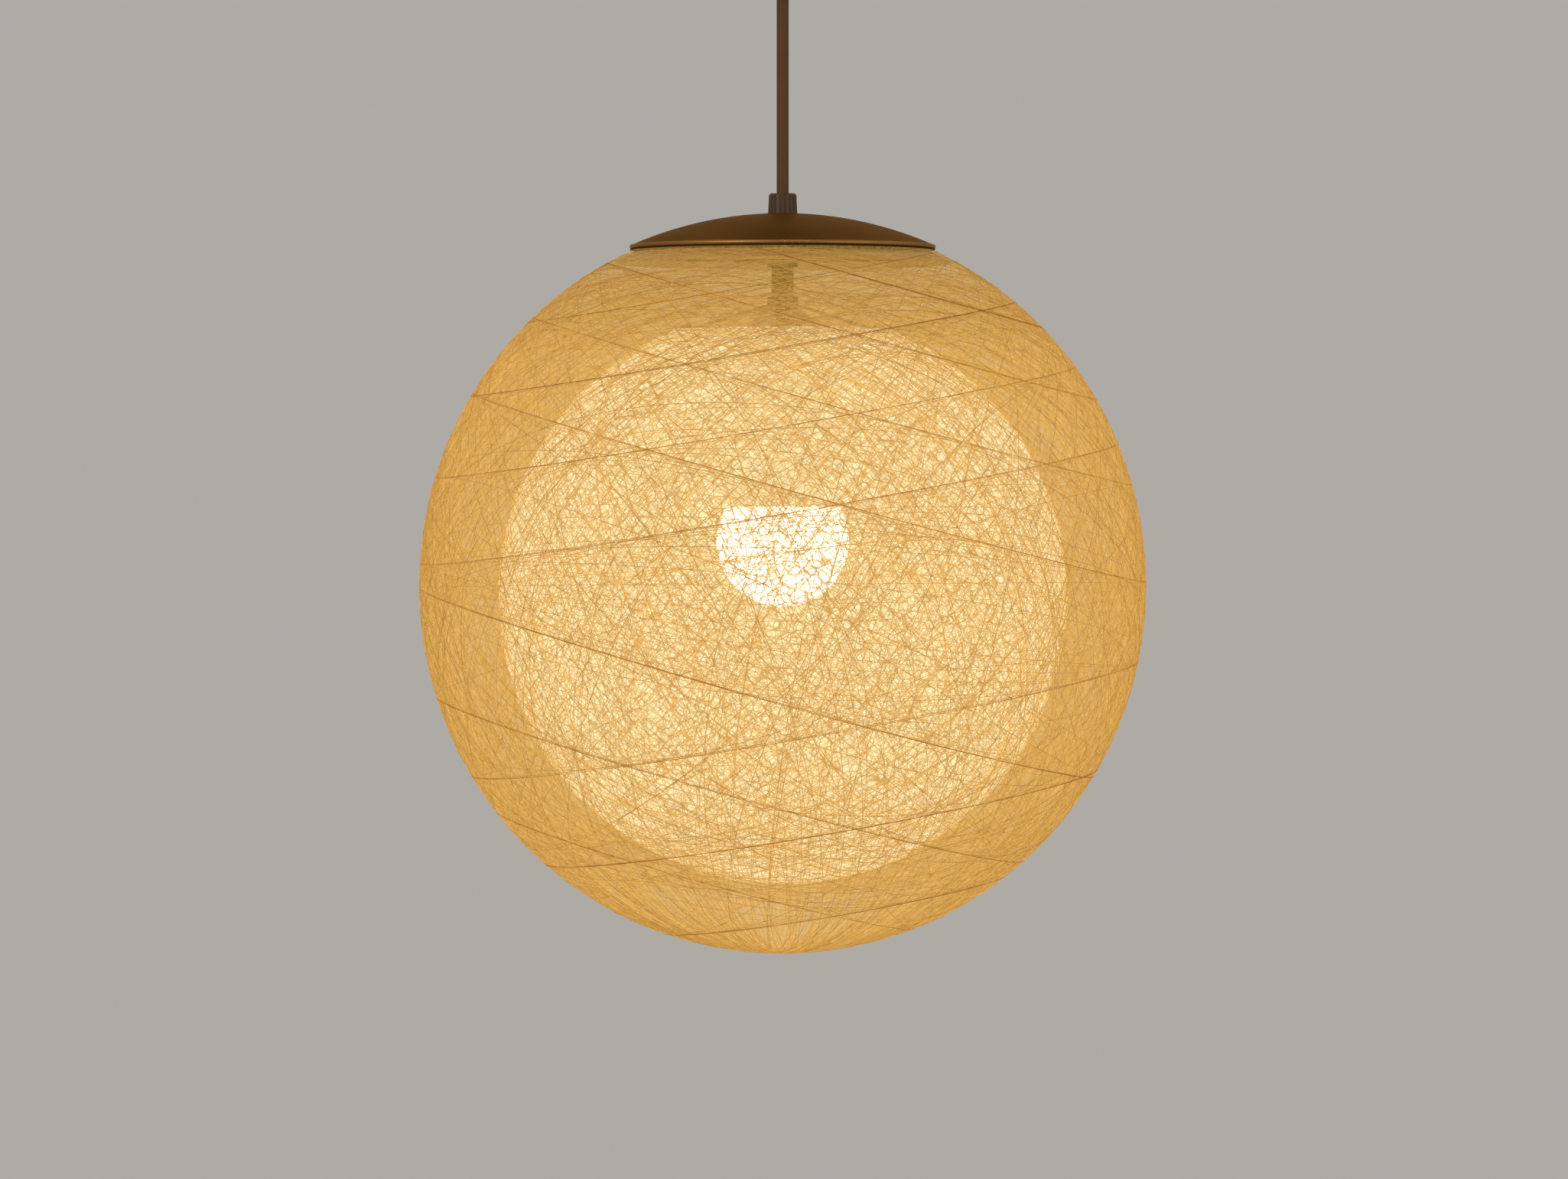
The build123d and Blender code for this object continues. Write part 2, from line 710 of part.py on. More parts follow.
# ---------------------------------------------------------------- inner globe and its gallery
inner_rim = rim_points(
    inner_half_width,
    inner_half_height,
    inner_wall,
    inner_rim_inner_radius,
    inner_rim_bend_radius,
    inner_rim_outer_radius,
)
inner_flange_z = inner_globe_z + inner_rim[0][1]

with BuildPart() as inner_globe:
    with BuildSketch(upright(height=inner_globe_z)):
        globe_section(inner_half_width, inner_half_height, inner_wall, inner_mouth_height)
    revolve(axis=Axis.Z)
inner_globe.part.label = "inner_globe"
export_step(inner_globe.part, "parts/inner_globe.step")

with BuildPart() as inner_rim_ring:
    with BuildSketch(upright(height=inner_globe_z)):
        with BuildLine():
            Polyline(*inner_rim, close=True)
        make_face()
    revolve(axis=Axis.Z)
    with BuildSketch(Plane.XY.offset(inner_flange_z)):
        with PolarLocations(inner_rivet_ring, arm_count):
            Circle(rivet_radius + running_gap)
    extrude(amount=-rim_sheet, mode=Mode.SUBTRACT)
inner_rim_ring.part.label = "inner_rim_ring"
export_step(inner_rim_ring.part, "parts/inner_rim_ring.step")

with BuildPart() as inner_gallery:
    with BuildSketch(Plane.XY.offset(inner_hub_z)):
        Circle(gallery_hub_radius)
    extrude(amount=gallery_sheet)
    step_radius = inner_rim_inner_radius - inner_foot_step
    for k in range(arm_count):
        with BuildSketch(upright(360 * k / arm_count)):
            with BuildLine():
                Polyline(
                    (0, inner_hub_z),
                    (gallery_hub_radius, inner_hub_z),
                    (step_radius, inner_flange_z),
                    (inner_foot_radius, inner_flange_z),
                    (inner_foot_radius, inner_flange_z + gallery_sheet),
                    (step_radius, inner_flange_z + gallery_sheet),
                    (gallery_hub_radius, inner_hub_z + gallery_sheet),
                    (0, inner_hub_z + gallery_sheet),
                    close=True,
                )
            make_face()
        extrude(amount=gallery_arm_width / 2, both=True)
    with BuildSketch(Plane.XY.offset(inner_flange_z)):
        Circle(tube_hole)
        with PolarLocations(inner_rivet_ring, arm_count):
            Circle(rivet_radius + running_gap)
    extrude(amount=inner_hub_z + gallery_sheet - inner_flange_z, mode=Mode.SUBTRACT)
inner_gallery.part.label = "inner_gallery"
export_step(inner_gallery.part, "parts/inner_gallery.step")

# Rivets: level of the lower and the upper sheet face, ring radius
rivets = {
    "outer_rim_rivets": (gallery_bottom_z, rim_flange_z, rivet_ring),
    "inner_rim_rivets": (inner_flange_z - rim_sheet, inner_flange_z + gallery_sheet, inner_rivet_ring),
}
for name, (low, high, ring) in rivets.items():
    with BuildPart() as rivet_set:
        with BuildSketch(Plane.XY.offset(low - rivet_head_height)):
            with PolarLocations(ring, arm_count):
                Circle(rivet_head_radius)
        extrude(amount=rivet_head_height)
        with BuildSketch(Plane.XY.offset(low)):
            with PolarLocations(ring, arm_count):
                Circle(rivet_radius)
        extrude(amount=high - low)
        with BuildSketch(Plane.XY.offset(high)):
            with PolarLocations(ring, arm_count):
                Circle(rivet_head_radius)
        extrude(amount=rivet_head_height)
    rivet_set.part.label = name
    export_step(rivet_set.part, f"parts/{name}.step")

# ---------------------------------------------------------------- lampholder
holder_top_z = inner_hub_z
holder_split_z = holder_top_z - holder_cap_height
holder_bottom_z = holder_split_z - holder_body_height
insert_top_z = holder_split_z
insert_bottom_z = insert_top_z - insert_height
terminal_top_z = insert_top_z + terminal_size[2]
holder_grub_z = stem_bottom_z + holder_wall + holder_grub_rise
bulb_tip_z = insert_bottom_z - contact_room
insulator_top_z = bulb_tip_z - tip_height
shell_top_z = insulator_top_z - insulator_height
shell_bottom_z = shell_top_z - shell_rim_height - thread_turns * thread_pitch
holder_shell_bottom_z = shell_bottom_z + seat_gap
shell_bore = thread_crest_radius + holder_shell_gap
shell_outer = shell_bore + holder_shell_sheet
insert_radius = shell_outer + insert_land
holder_radius = insert_radius + holder_side

with BuildPart() as holder_cap:
    cone_bottom_z = holder_top_z - holder_shoulder_drop - holder_cone_height
    with BuildSketch(upright()):
        with BuildLine():
            Polyline(
                (tube_hole, holder_top_z),
                (holder_neck_radius, holder_top_z),
                (holder_shoulder_radius, holder_top_z - holder_shoulder_drop),
                (holder_radius, cone_bottom_z),
                (holder_radius, holder_split_z),
                (holder_radius - holder_wall, holder_split_z),
                (holder_radius - holder_wall, cone_bottom_z - holder_wall / 2),
                (holder_boss_radius, stem_bottom_z + holder_wall),
                (holder_boss_radius, stem_bottom_z),
                (tube_hole, stem_bottom_z),
                close=True,
            )
        make_face()
    revolve(axis=Axis.Z)
    with BuildSketch(facing(90, holder_radius, holder_grub_z)):
        Circle(screw_hole)
    extrude(amount=-(holder_radius - tube_radius), mode=Mode.SUBTRACT)
holder_cap.part.label = "holder_cap"
export_step(holder_cap.part, "parts/holder_cap.step")

with BuildPart() as holder_grub_screw:
    with BuildSketch(facing(90, tube_hole, holder_grub_z)):
        Circle(grub_radius)
    extrude(amount=holder_shoulder_radius - tube_hole)
    with BuildSketch(facing(90, holder_shoulder_radius, holder_grub_z)):
        RegularPolygon(key_flats / 2, 6, major_radius=False)
    extrude(amount=-grub_recess, mode=Mode.SUBTRACT)
holder_grub_screw.part.label = "holder_grub_screw"
export_step(holder_grub_screw.part, "parts/holder_grub_screw.step")

with BuildPart() as holder_body:
    with BuildSketch(upright()):
        with BuildLine():
            Polyline(
                (holder_radius, holder_split_z),
                (holder_radius, holder_bottom_z),
                (shell_outer + seat_gap, holder_bottom_z),
                (shell_outer + seat_gap, insert_bottom_z),
                (insert_radius + running_gap, insert_bottom_z),
                (insert_radius + running_gap, holder_split_z),
                close=True,
            )
        make_face()
    revolve(axis=Axis.Z)
    fillet(holder_body.edges().group_by(Axis.Z)[0].sort_by(SortBy.LENGTH)[-1], radius=holder_round)
holder_body.part.label = "holder_body"
export_step(holder_body.part, "parts/holder_body.step")

with BuildPart() as holder_insert:
    with BuildSketch(Plane.XY.offset(insert_bottom_z)):
        Circle(insert_radius)
    extrude(amount=insert_height)
    with BuildSketch(Plane.XY.offset(insert_bottom_z)):
        Circle(rivet_radius + running_gap)
    extrude(amount=insert_height, mode=Mode.SUBTRACT)
holder_insert.part.label = "holder_insert"
export_step(holder_insert.part, "parts/holder_insert.step")

with BuildPart() as holder_shell:
    with BuildSketch(upright()):
        with BuildLine():
            Polyline(
                (shell_bore, holder_shell_bottom_z),
                (shell_outer, holder_shell_bottom_z),
                (shell_outer, insert_bottom_z),
                (shell_bore - holder_shell_lip, insert_bottom_z),
                (shell_bore - holder_shell_lip, insert_bottom_z - holder_shell_sheet),
                (shell_bore, insert_bottom_z - holder_shell_sheet),
                close=True,
            )
        make_face()
    revolve(axis=Axis.Z)
holder_shell.part.label = "holder_shell"
export_step(holder_shell.part, "parts/holder_shell.step")

with BuildPart() as centre_contact:
    tip_gap_z = bulb_tip_z + running_gap
    with BuildSketch(Plane.XZ):
        with BuildLine():
            Polyline(
                (-tip_radius - contact_reach, insert_bottom_z),
                (-rivet_radius, insert_bottom_z),
                (tip_radius, tip_gap_z + contact_sheet),
                (tip_radius, tip_gap_z),
                (0, tip_gap_z),
                (-rivet_radius, insert_bottom_z - contact_sheet),
                (-tip_radius - contact_reach, insert_bottom_z - contact_sheet),
                close=True,
            )
        make_face()
    extrude(amount=contact_width / 2, both=True)
centre_contact.part.label = "centre_contact"
export_step(centre_contact.part, "parts/centre_contact.step")

terminals = {"live_terminal": -1, "neutral_terminal": 1}
for name, side in terminals.items():
    with BuildPart() as terminal:
        with BuildSketch(Plane.XY.offset(insert_top_z)):
            with Locations((side * terminal_spacing / 2, 0)):
                Rectangle(terminal_size[0], terminal_size[1])
        extrude(amount=terminal_size[2])
        with BuildSketch(Plane.XY.offset(terminal_top_z)):
            with Locations((side * terminal_spacing / 2, 0)):
                Circle(conductor_radius + running_gap)
        extrude(amount=-terminal_size[2] / 2, mode=Mode.SUBTRACT)
        with BuildSketch(Plane.XZ.offset(terminal_size[1] / 2)):
            with Locations((side * terminal_spacing / 2, insert_top_z + terminal_size[2] / 4)):
                Circle(block_screw_radius)
        extrude(amount=terminal_screw_rise)
    terminal.part.label = name
    export_step(terminal.part, f"parts/{name}.step")

# The two conductors go down inside the stem to the lampholder's terminals
for name, side in {"stem_live_conductor": -1, "stem_neutral_conductor": 1}.items():
    start = (side * conductor_spacing / 2, 0, stem_top_z)
    end = (side * terminal_spacing / 2, 0, terminal_top_z - terminal_size[2] / 2)
    with BuildPart() as stem_conductor:
        with BuildLine():
            route = FilletPolyline(
                start,
                (start[0], 0, stem_bottom_z - conductor_bend / 2),
                (end[0], 0, terminal_top_z + conductor_bend),
                end,
                radius=conductor_bend,
            )
        with BuildSketch(Plane(origin=route @ 0, z_dir=route % 0)):
            Circle(conductor_radius)
        sweep()
    stem_conductor.part.label = name
    export_step(stem_conductor.part, f"parts/{name}.step")

# ---------------------------------------------------------------- LED bulb, base up
joint_out = (cos(radians(bulb_joint_angle)), sin(radians(bulb_joint_angle)))
thread_root_radius = thread_crest_radius - thread_depth
insulator_shell_radius = thread_root_radius - shell_rim_step
bulb_neck_radius = thread_crest_radius + bulb_neck_step
joint_level = bulb_radius * joint_out[1]


def housing_corners(inset):
    """The bulb's flank, inset by a wall: the joint, the flank's end and the start of the neck."""
    along, up = joint_out
    radius = bulb_radius - inset
    joint = (radius * along, radius * up)
    shoulder = (joint[0] - bulb_flank_length * up, joint[1] + bulb_flank_length * along)
    bend = (bulb_radius * along - bulb_flank_length * up - bulb_neck_radius) / (1 - along)
    neck = (bulb_neck_radius - inset, shoulder[1] + (bend + inset) * up)
    return joint, shoulder, neck


outer_joint, outer_shoulder, outer_neck = housing_corners(0)
inner_joint, inner_shoulder, inner_neck = housing_corners(housing_wall)
ledge = outer_neck[1] + bulb_neck_length
bulb_middle_z = shell_bottom_z - ledge
joint_z = bulb_middle_z + joint_level

with BuildPart() as bulb_tip:
    with BuildSketch(Plane.XY.offset(insulator_top_z)):
        Circle(tip_radius)
    extrude(amount=tip_height)
    fillet(bulb_tip.edges().group_by(Axis.Z)[-1], radius=tip_round)
bulb_tip.part.label = "bulb_tip"
export_step(bulb_tip.part, "parts/bulb_tip.step")

with BuildPart() as bulb_insulator:
    with BuildSketch(upright(height=shell_top_z)):
        with BuildLine():
            Polyline(
                (0, 0),
                (insulator_shell_radius, 0),
                (tip_radius + insulator_land, insulator_height),
                (0, insulator_height),
                close=True,
            )
        make_face()
    revolve(axis=Axis.Z)
bulb_insulator.part.label = "bulb_insulator"
export_step(bulb_insulator.part, "parts/bulb_insulator.step")

with BuildPart() as bulb_shell:
    outline = [(thread_root_radius, shell_bottom_z)]
    thread_flank = (thread_pitch - thread_crest_width - thread_root_width) / 2
    for turn in range(thread_turns):
        low = shell_bottom_z + turn * thread_pitch + thread_root_width / 2
        outline.append((thread_root_radius, low))
        outline.append((thread_crest_radius, low + thread_flank))
        outline.append((thread_crest_radius, low + thread_flank + thread_crest_width))
        outline.append((thread_root_radius, low + 2 * thread_flank + thread_crest_width))
    outline.append((thread_root_radius, shell_top_z - shell_rim_height))
    outline.append((insulator_shell_radius, shell_top_z))
    inline = [(radius - thread_sheet, level) for radius, level in reversed(outline)]
    with BuildSketch(upright()):
        with BuildLine():
            Polyline(*outline, *inline, close=True)
        make_face()
    revolve(axis=Axis.Z)
bulb_shell.part.label = "bulb_shell"
export_step(bulb_shell.part, "parts/bulb_shell.step")

with BuildPart() as bulb_housing:
    plug_radius = thread_root_radius - thread_sheet - running_gap
    plug_top = ledge + thread_turns * thread_pitch / 2
    with BuildSketch(upright(height=bulb_middle_z)):
        with BuildLine():
            flank = Line(outer_joint, outer_shoulder)
            bend = TangentArc(outer_shoulder, outer_neck, tangent=flank % 1)
            Polyline(
                outer_neck,
                (bulb_neck_radius, ledge),
                (plug_radius, ledge),
                (plug_radius, plug_top),
                (plug_radius - housing_wall, plug_top),
                (plug_radius - housing_wall, ledge - housing_wall),
                (bulb_neck_radius - housing_wall, ledge - housing_wall),
                inner_neck,
            )
            inner_flank = Line(inner_shoulder, inner_joint)
            TangentArc(inner_shoulder, inner_neck, tangent=(inner_flank % 0) * -1)
            Line(inner_joint, outer_joint)
        make_face()
        with Locations((0, joint_level)):
            Rectangle(3 * bulb_radius, bulb_radius, align=(Align.CENTER, Align.MAX), mode=Mode.SUBTRACT)
    revolve(axis=Axis.Z)
bulb_housing.part.label = "bulb_housing"
export_step(bulb_housing.part, "parts/bulb_housing.step")

with BuildPart() as bulb_diffuser:
    with BuildSketch(upright(height=bulb_middle_z)):
        Circle(bulb_radius)
        Circle(bulb_radius - bulb_wall, mode=Mode.SUBTRACT)
        Rectangle(2 * bulb_radius, 3 * bulb_radius, align=(Align.MAX, Align.CENTER), mode=Mode.SUBTRACT)
        with Locations((0, joint_level)):
            Rectangle(3 * bulb_radius, bulb_radius, align=(Align.CENTER, Align.MIN), mode=Mode.SUBTRACT)
    revolve(axis=Axis.Z)
bulb_diffuser.part.label = "bulb_diffuser"
export_step(bulb_diffuser.part, "parts/bulb_diffuser.step")

sink_z = joint_z + board_sheet
sink_radius = inner_joint[0] - sink_gap
board_radius = sink_radius - board_inset

with BuildPart() as heat_sink:
    with BuildSketch(Plane.XY.offset(sink_z)):
        Circle(sink_radius)
    extrude(amount=sink_skirt, taper=bulb_joint_angle)
    with BuildSketch(Plane.XY.offset(sink_z + sink_sheet)):
        Circle(sink_radius - 2 * sink_sheet)
    extrude(amount=sink_skirt, taper=bulb_joint_angle, mode=Mode.SUBTRACT)
heat_sink.part.label = "heat_sink"
export_step(heat_sink.part, "parts/heat_sink.step")

with BuildPart() as led_board:
    with BuildSketch(Plane.XY.offset(joint_z)):
        Circle(board_radius)
    extrude(amount=board_sheet)
led_board.part.label = "led_board"
export_step(led_board.part, "parts/led_board.step")

with BuildPart() as led_chips:
    with BuildSketch(Plane.XY.offset(joint_z - chip_size[2])):
        with PolarLocations(board_radius - chip_inset, chip_count):
            Rectangle(chip_size[0], chip_size[1])
    extrude(amount=chip_size[2])
led_chips.part.label = "led_chips"
export_step(led_chips.part, "parts/led_chips.step")

with BuildPart() as driver_board:
    with BuildSketch(Plane.XY.offset(sink_z + sink_sheet)):
        Rectangle(driver_size[0], driver_size[1])
    extrude(amount=driver_size[2])
driver_board.part.label = "driver_board"
export_step(driver_board.part, "parts/driver_board.step")

with BuildPart() as driver_parts:
    with BuildSketch(Plane.XY.offset(sink_z + sink_sheet + driver_parts_rise)):
        with Locations((capacitor_side, driver_size[1] / 2 + capacitor_radius)):
            Circle(capacitor_radius)
        with Locations((-coil_side, driver_size[1] / 2)):
            Rectangle(*coil_size, align=(Align.CENTER, Align.MIN))
        with Locations((0, -driver_size[1] / 2)):
            Rectangle(*transformer_size, align=(Align.CENTER, Align.MAX))
    extrude(amount=driver_parts_height)
driver_parts.part.label = "driver_parts"
export_step(driver_parts.part, "parts/driver_parts.step")

print("globe", round(globe_z, 3), "inner", round(inner_globe_z, 3), "stem top", round(stem_top_z, 3))
print("bulb tip", round(bulb_tip_z, 3), "bulb middle", round(bulb_middle_z, 3), "joint", round(joint_z, 3))
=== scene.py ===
import json
from math import atan2, cos, pi, radians, sin

import bpy
import numpy as np
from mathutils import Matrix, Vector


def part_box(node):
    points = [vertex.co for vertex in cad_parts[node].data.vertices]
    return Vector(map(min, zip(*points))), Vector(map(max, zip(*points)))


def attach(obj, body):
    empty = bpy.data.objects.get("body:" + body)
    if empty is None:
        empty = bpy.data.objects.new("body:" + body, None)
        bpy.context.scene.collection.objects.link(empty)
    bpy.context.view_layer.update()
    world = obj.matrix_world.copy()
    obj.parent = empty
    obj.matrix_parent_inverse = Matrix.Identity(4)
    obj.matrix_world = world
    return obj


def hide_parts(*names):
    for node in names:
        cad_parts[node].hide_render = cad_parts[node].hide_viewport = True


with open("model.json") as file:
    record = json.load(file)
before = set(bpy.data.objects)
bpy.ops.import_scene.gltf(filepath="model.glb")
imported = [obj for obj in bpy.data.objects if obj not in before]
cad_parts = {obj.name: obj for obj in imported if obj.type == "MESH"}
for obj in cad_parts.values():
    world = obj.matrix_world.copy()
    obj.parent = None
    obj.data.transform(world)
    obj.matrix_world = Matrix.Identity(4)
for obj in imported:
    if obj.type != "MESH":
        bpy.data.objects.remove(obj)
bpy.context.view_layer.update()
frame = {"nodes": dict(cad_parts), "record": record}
bpy.context.scene.view_settings.view_transform = "Standard"

# ---------------------------------------------------------------- sizes read from the frame
OUTER_LOW, OUTER_HIGH = (np.array(corner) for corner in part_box("outer_globe"))
INNER_LOW, INNER_HIGH = (np.array(corner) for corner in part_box("inner_globe"))
BULB_LOW, BULB_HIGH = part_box("bulb_diffuser")
CORD_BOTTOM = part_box("supply_cord")[0].z
GRIP_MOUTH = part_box("ceiling_grip")[0].z
GLOBE_RADIUS = (OUTER_HIGH[0] - OUTER_LOW[0]) / 2
INNER_RADIUS = (INNER_HIGH[0] - INNER_LOW[0]) / 2

# ---------------------------------------------------------------- driving values, in metres
PIVOT_DEPTH = 0.004  # the cord bends this far inside the ceiling grip's trumpet mouth
CORD_DIAMETER = 0.0055
END_RUN = 0.030  # between the cord's first two control points, and between its last two

# Each globe is a sphere stretched in height, half height over half width, with a mouth at its top.
GLOBE_STRETCH = 167.3 / 165.0
INNER_STRETCH = 131.1 / 129.4
MOUTH_RADIUS = 0.06915
INNER_MOUTH_RADIUS = 0.04957

# Depths under each globe's own surface. A film lies its depth under the edge, where its lip starts.
OUTER_EDGE = 0.0001
SLANTING_DEPTH = 0.0003
STEEP_DEPTH = 0.0005
OUTER_FILM_DEPTH = 0.0008
INNER_EDGE = 0.0001
TANGLE_DEPTH = 0.0004
INNER_FILM_DEPTH = 0.0007
FILM = 0.0003  # a film's thickness
POLE_RADIUS = 0.00001  # the small circle that closes a film at its bottom pole
POLE_ANGLE = 0.002  # the film's rings stop this far from the bottom pole, in radians
MOUTH_CLEARANCE = 0.004  # steep strands turn back at least this far below the mouth, in radians
OUTER_THREAD = 0.00019
INNER_THREAD = 0.00027

# How far each kind of strand strays to either side of its circle, in radians.
STEEP_WOBBLE = 0.002
SLANTING_WOBBLE = 0.0012
TURNING_WOBBLE = 0.0008
TANGLE_WOBBLE = 0.006

VIEW_DISTANCE = 4.45
VIEW_WIDTH = 0.711  # how much of the plane through the lamp's axis the view spans
VIEW_SIDE = 0.0006  # the camera stands this far beside the globe's middle
VIEW_DROP = 0.0019  # and this far below it
SENSOR = 36.0  # millimetres

CORD_PIVOT = GRIP_MOUTH + PIVOT_DEPTH
GLOBE_MIDDLE = OUTER_LOW[2] + GLOBE_RADIUS * GLOBE_STRETCH
INNER_MIDDLE = INNER_LOW[2] + INNER_RADIUS * INNER_STRETCH


# ---------------------------------------------------------------- camera and cord
camera_data = bpy.data.cameras.new("camera")
camera = bpy.data.objects.new("camera", camera_data)
bpy.context.scene.collection.objects.link(camera)
bpy.context.scene.camera = camera
camera_data.sensor_width = SENSOR
camera_data.lens = SENSOR * VIEW_DISTANCE / VIEW_WIDTH
camera_data.clip_end = 40.0
camera.location = (VIEW_SIDE, -VIEW_DISTANCE, GLOBE_MIDDLE - VIEW_DROP)
camera.rotation_euler = (pi / 2, 0.0, 0.0)

cord_curve = bpy.data.curves.new("supply_cord_sheath", "CURVE")
cord_curve.dimensions = "3D"
cord_curve.bevel_depth = 1.0
cord_curve.bevel_resolution = 6
cord_curve.use_fill_caps = True
cord_middle = (CORD_BOTTOM + CORD_PIVOT) / 2
cord_heights = [CORD_BOTTOM, CORD_BOTTOM + END_RUN, cord_middle, CORD_PIVOT - END_RUN, CORD_PIVOT]
spline = cord_curve.splines.new("NURBS")
spline.points.add(len(cord_heights) - 1)
for point, height in zip(spline.points, cord_heights):
    point.co = (0.0, 0.0, height, 1.0)
    point.radius = CORD_DIAMETER / 2  # times the bevel of 1, which keeps the curve's own box true
spline.order_u = 3
spline.use_endpoint_u = True
supply_cord = bpy.data.objects.new("supply_cord_sheath", cord_curve)
bpy.context.scene.collection.objects.link(supply_cord)
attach(supply_cord, "cord")
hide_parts("supply_cord", "cord_bend")


# ---------------------------------------------------------------- shader helpers
class Value:
    """One number that varies over a surface. Arithmetic on it adds Math nodes."""

    def __init__(self, finish, socket):
        self.finish = finish
        self.socket = socket

    def __add__(self, other):
        return self.finish.math("ADD", self, other)

    __radd__ = __add__

    def __sub__(self, other):
        return self.finish.math("SUBTRACT", self, other)

    def __rsub__(self, other):
        return self.finish.math("SUBTRACT", other, self)

    def __mul__(self, other):
        return self.finish.math("MULTIPLY", self, other)

    __rmul__ = __mul__


class Finish:
    """One material: its node tree, its shader and short ways to add nodes."""

    def __init__(self, name, **constants):
        self.material = bpy.data.materials.new(name)
        self.material.use_nodes = True
        self.tree = self.material.node_tree
        self.shader = self.tree.nodes["Principled BSDF"]
        self.constants(**constants)

    def constants(self, **sockets):
        """Sets plain numbers and colours on the shader, with _ for a space in a socket's name."""
        for name, value in sockets.items():
            self.drive(name.replace("_", " "), value)

    def node(self, kind, settings=None, inputs=None):
        """Adds a node: its settings first, then the values or links of its sockets."""
        node = self.tree.nodes.new(kind)
        for name, value in (settings or {}).items():
            setattr(node, name, value)
        for key, value in (inputs or {}).items():
            self.feed(node.inputs[key], value)
        return node

    def feed(self, socket, value):
        """Links a Value or a socket to a socket, or sets a plain value on it."""
        if isinstance(value, Value):
            value = value.socket
        if isinstance(value, bpy.types.NodeSocket):
            self.tree.links.new(value, socket)
        elif socket.type == "RGBA":
            socket.default_value = (*value, 1.0)
        else:
            socket.default_value = value

    def drive(self, name, value):
        """Feeds one socket of the shader with what varies over the surface, or with a constant."""
        self.feed(self.shader.inputs[name], value)

    def place(self):
        """The point on the object, in metres."""
        return self.node("ShaderNodeTexCoord").outputs["Object"]

    def parts(self, vector):
        """The three numbers of a vector."""
        node = self.node("ShaderNodeSeparateXYZ", inputs={0: vector})
        return [Value(self, socket) for socket in node.outputs]

    def vector(self, x, y, z):
        """A vector from three numbers."""
        return self.node("ShaderNodeCombineXYZ", inputs={0: x, 1: y, 2: z}).outputs[0]

    def math(self, operation, first, second=0.0):
        """One Math node on two numbers, or on the first alone where the operation takes one."""
        node = self.node("ShaderNodeMath", {"operation": operation}, {0: first, 1: second})
        return Value(self, node.outputs[0])

    def noise(self, scale, detail=2.0, vector=None):
        """Noise from 0 to 1 with features of about 1 / scale metres."""
        sockets = {"Vector": vector or self.place(), "Scale": scale, "Detail": detail}
        return Value(self, self.node("ShaderNodeTexNoise", inputs=sockets).outputs["Fac"])

    def span(self, value, low_in, high_in, low_out, high_out):
        """A value moved from one range to another and held inside it."""
        sockets = {0: value, 1: low_in, 2: high_in, 3: low_out, 4: high_out}
        return Value(self, self.node("ShaderNodeMapRange", inputs=sockets).outputs[0])

    def blend(self, share, first, second):
        """Two colours mixed by a share: the first at 0, the second at 1."""
        # The node's sockets share their names, so they go by number: factor, two colours, result.
        node = self.node("ShaderNodeMix", {"data_type": "RGBA"}, {0: share, 6: first, 7: second})
        return node.outputs[2]

    def bump(self, height, strength, depth):
        """Feeds Normal with a bump of a depth in metres."""
        sockets = {"Height": height, "Strength": strength, "Distance": depth}
        self.drive("Normal", self.node("ShaderNodeBump", inputs=sockets).outputs[0])


def tinted(colour, *factors):
    """A colour with each of its parts times its own factor, or all times one factor."""
    each = factors if len(factors) == 3 else factors * 3
    return tuple(part * factor for part, factor in zip(colour, each))


# ---------------------------------------------------------------- finishes
def plated(name, colour, roughness):
    """Plated metal: its roughness plus 0.14 of a fine cloudy wear, and a faint grain."""
    finish = Finish(name, Base_Color=colour, Metallic=1.0)
    finish.drive("Roughness", roughness + 0.14 * finish.noise(900.0))
    finish.bump(finish.noise(2600.0), 0.25, 0.00004)
    return finish.material


def moulded(name, colour, roughness):
    """Moulded plastic: one colour, with the mould's faint grain."""
    finish = Finish(name, Base_Color=colour, Roughness=roughness, Specular_IOR_Level=0.45)
    finish.bump(finish.noise(1800.0, 3.0), 0.2, 0.00005)
    return finish.material


def spun_lacquer(name, colour, edge_colour, roughness):
    """Spun sheet under satin lacquer: fine rings round the Z axis, and cloudy lacquer.

    The rings are noise of the distance from the axis and a fifth of the height. Roughness is
    the lacquer's own plus 0.12 of the rings and 0.08 of the clouds. The tint browns the sheen
    at grazing angles.
    """
    finish = Finish(name, Metallic=1.0, Specular_Tint=(0.88, 0.66, 0.44))
    x, y, z = finish.parts(finish.place())
    from_axis = finish.math("SQRT", x * x + y * y)
    rings = finish.noise(2200.0, 2.0, finish.vector(from_axis, 0.0, z * 0.2))
    clouds = finish.noise(45.0, 3.0)
    finish.drive("Base Color", finish.blend(finish.span(clouds, 0.3, 0.7, 0.0, 1.0), colour, edge_colour))
    finish.drive("Roughness", roughness + 0.12 * rings + 0.08 * clouds)
    finish.bump(rings, 0.18, 0.00006)
    return finish.material


def lit_from_inside(finish, glow, brightness):
    """Feeds Emission Color with painted light, the bulb's light on a globe: the glow times its brightness
    at that height.

    brightness is (low height, high height, share at the low one, share at the high one).
    """
    share = finish.span(finish.parts(finish.place())[2], *brightness)
    finish.drive("Emission Color", finish.blend(share, (0.0, 0.0, 0.0), glow))
    finish.material.cycles.emission_sampling = "NONE"


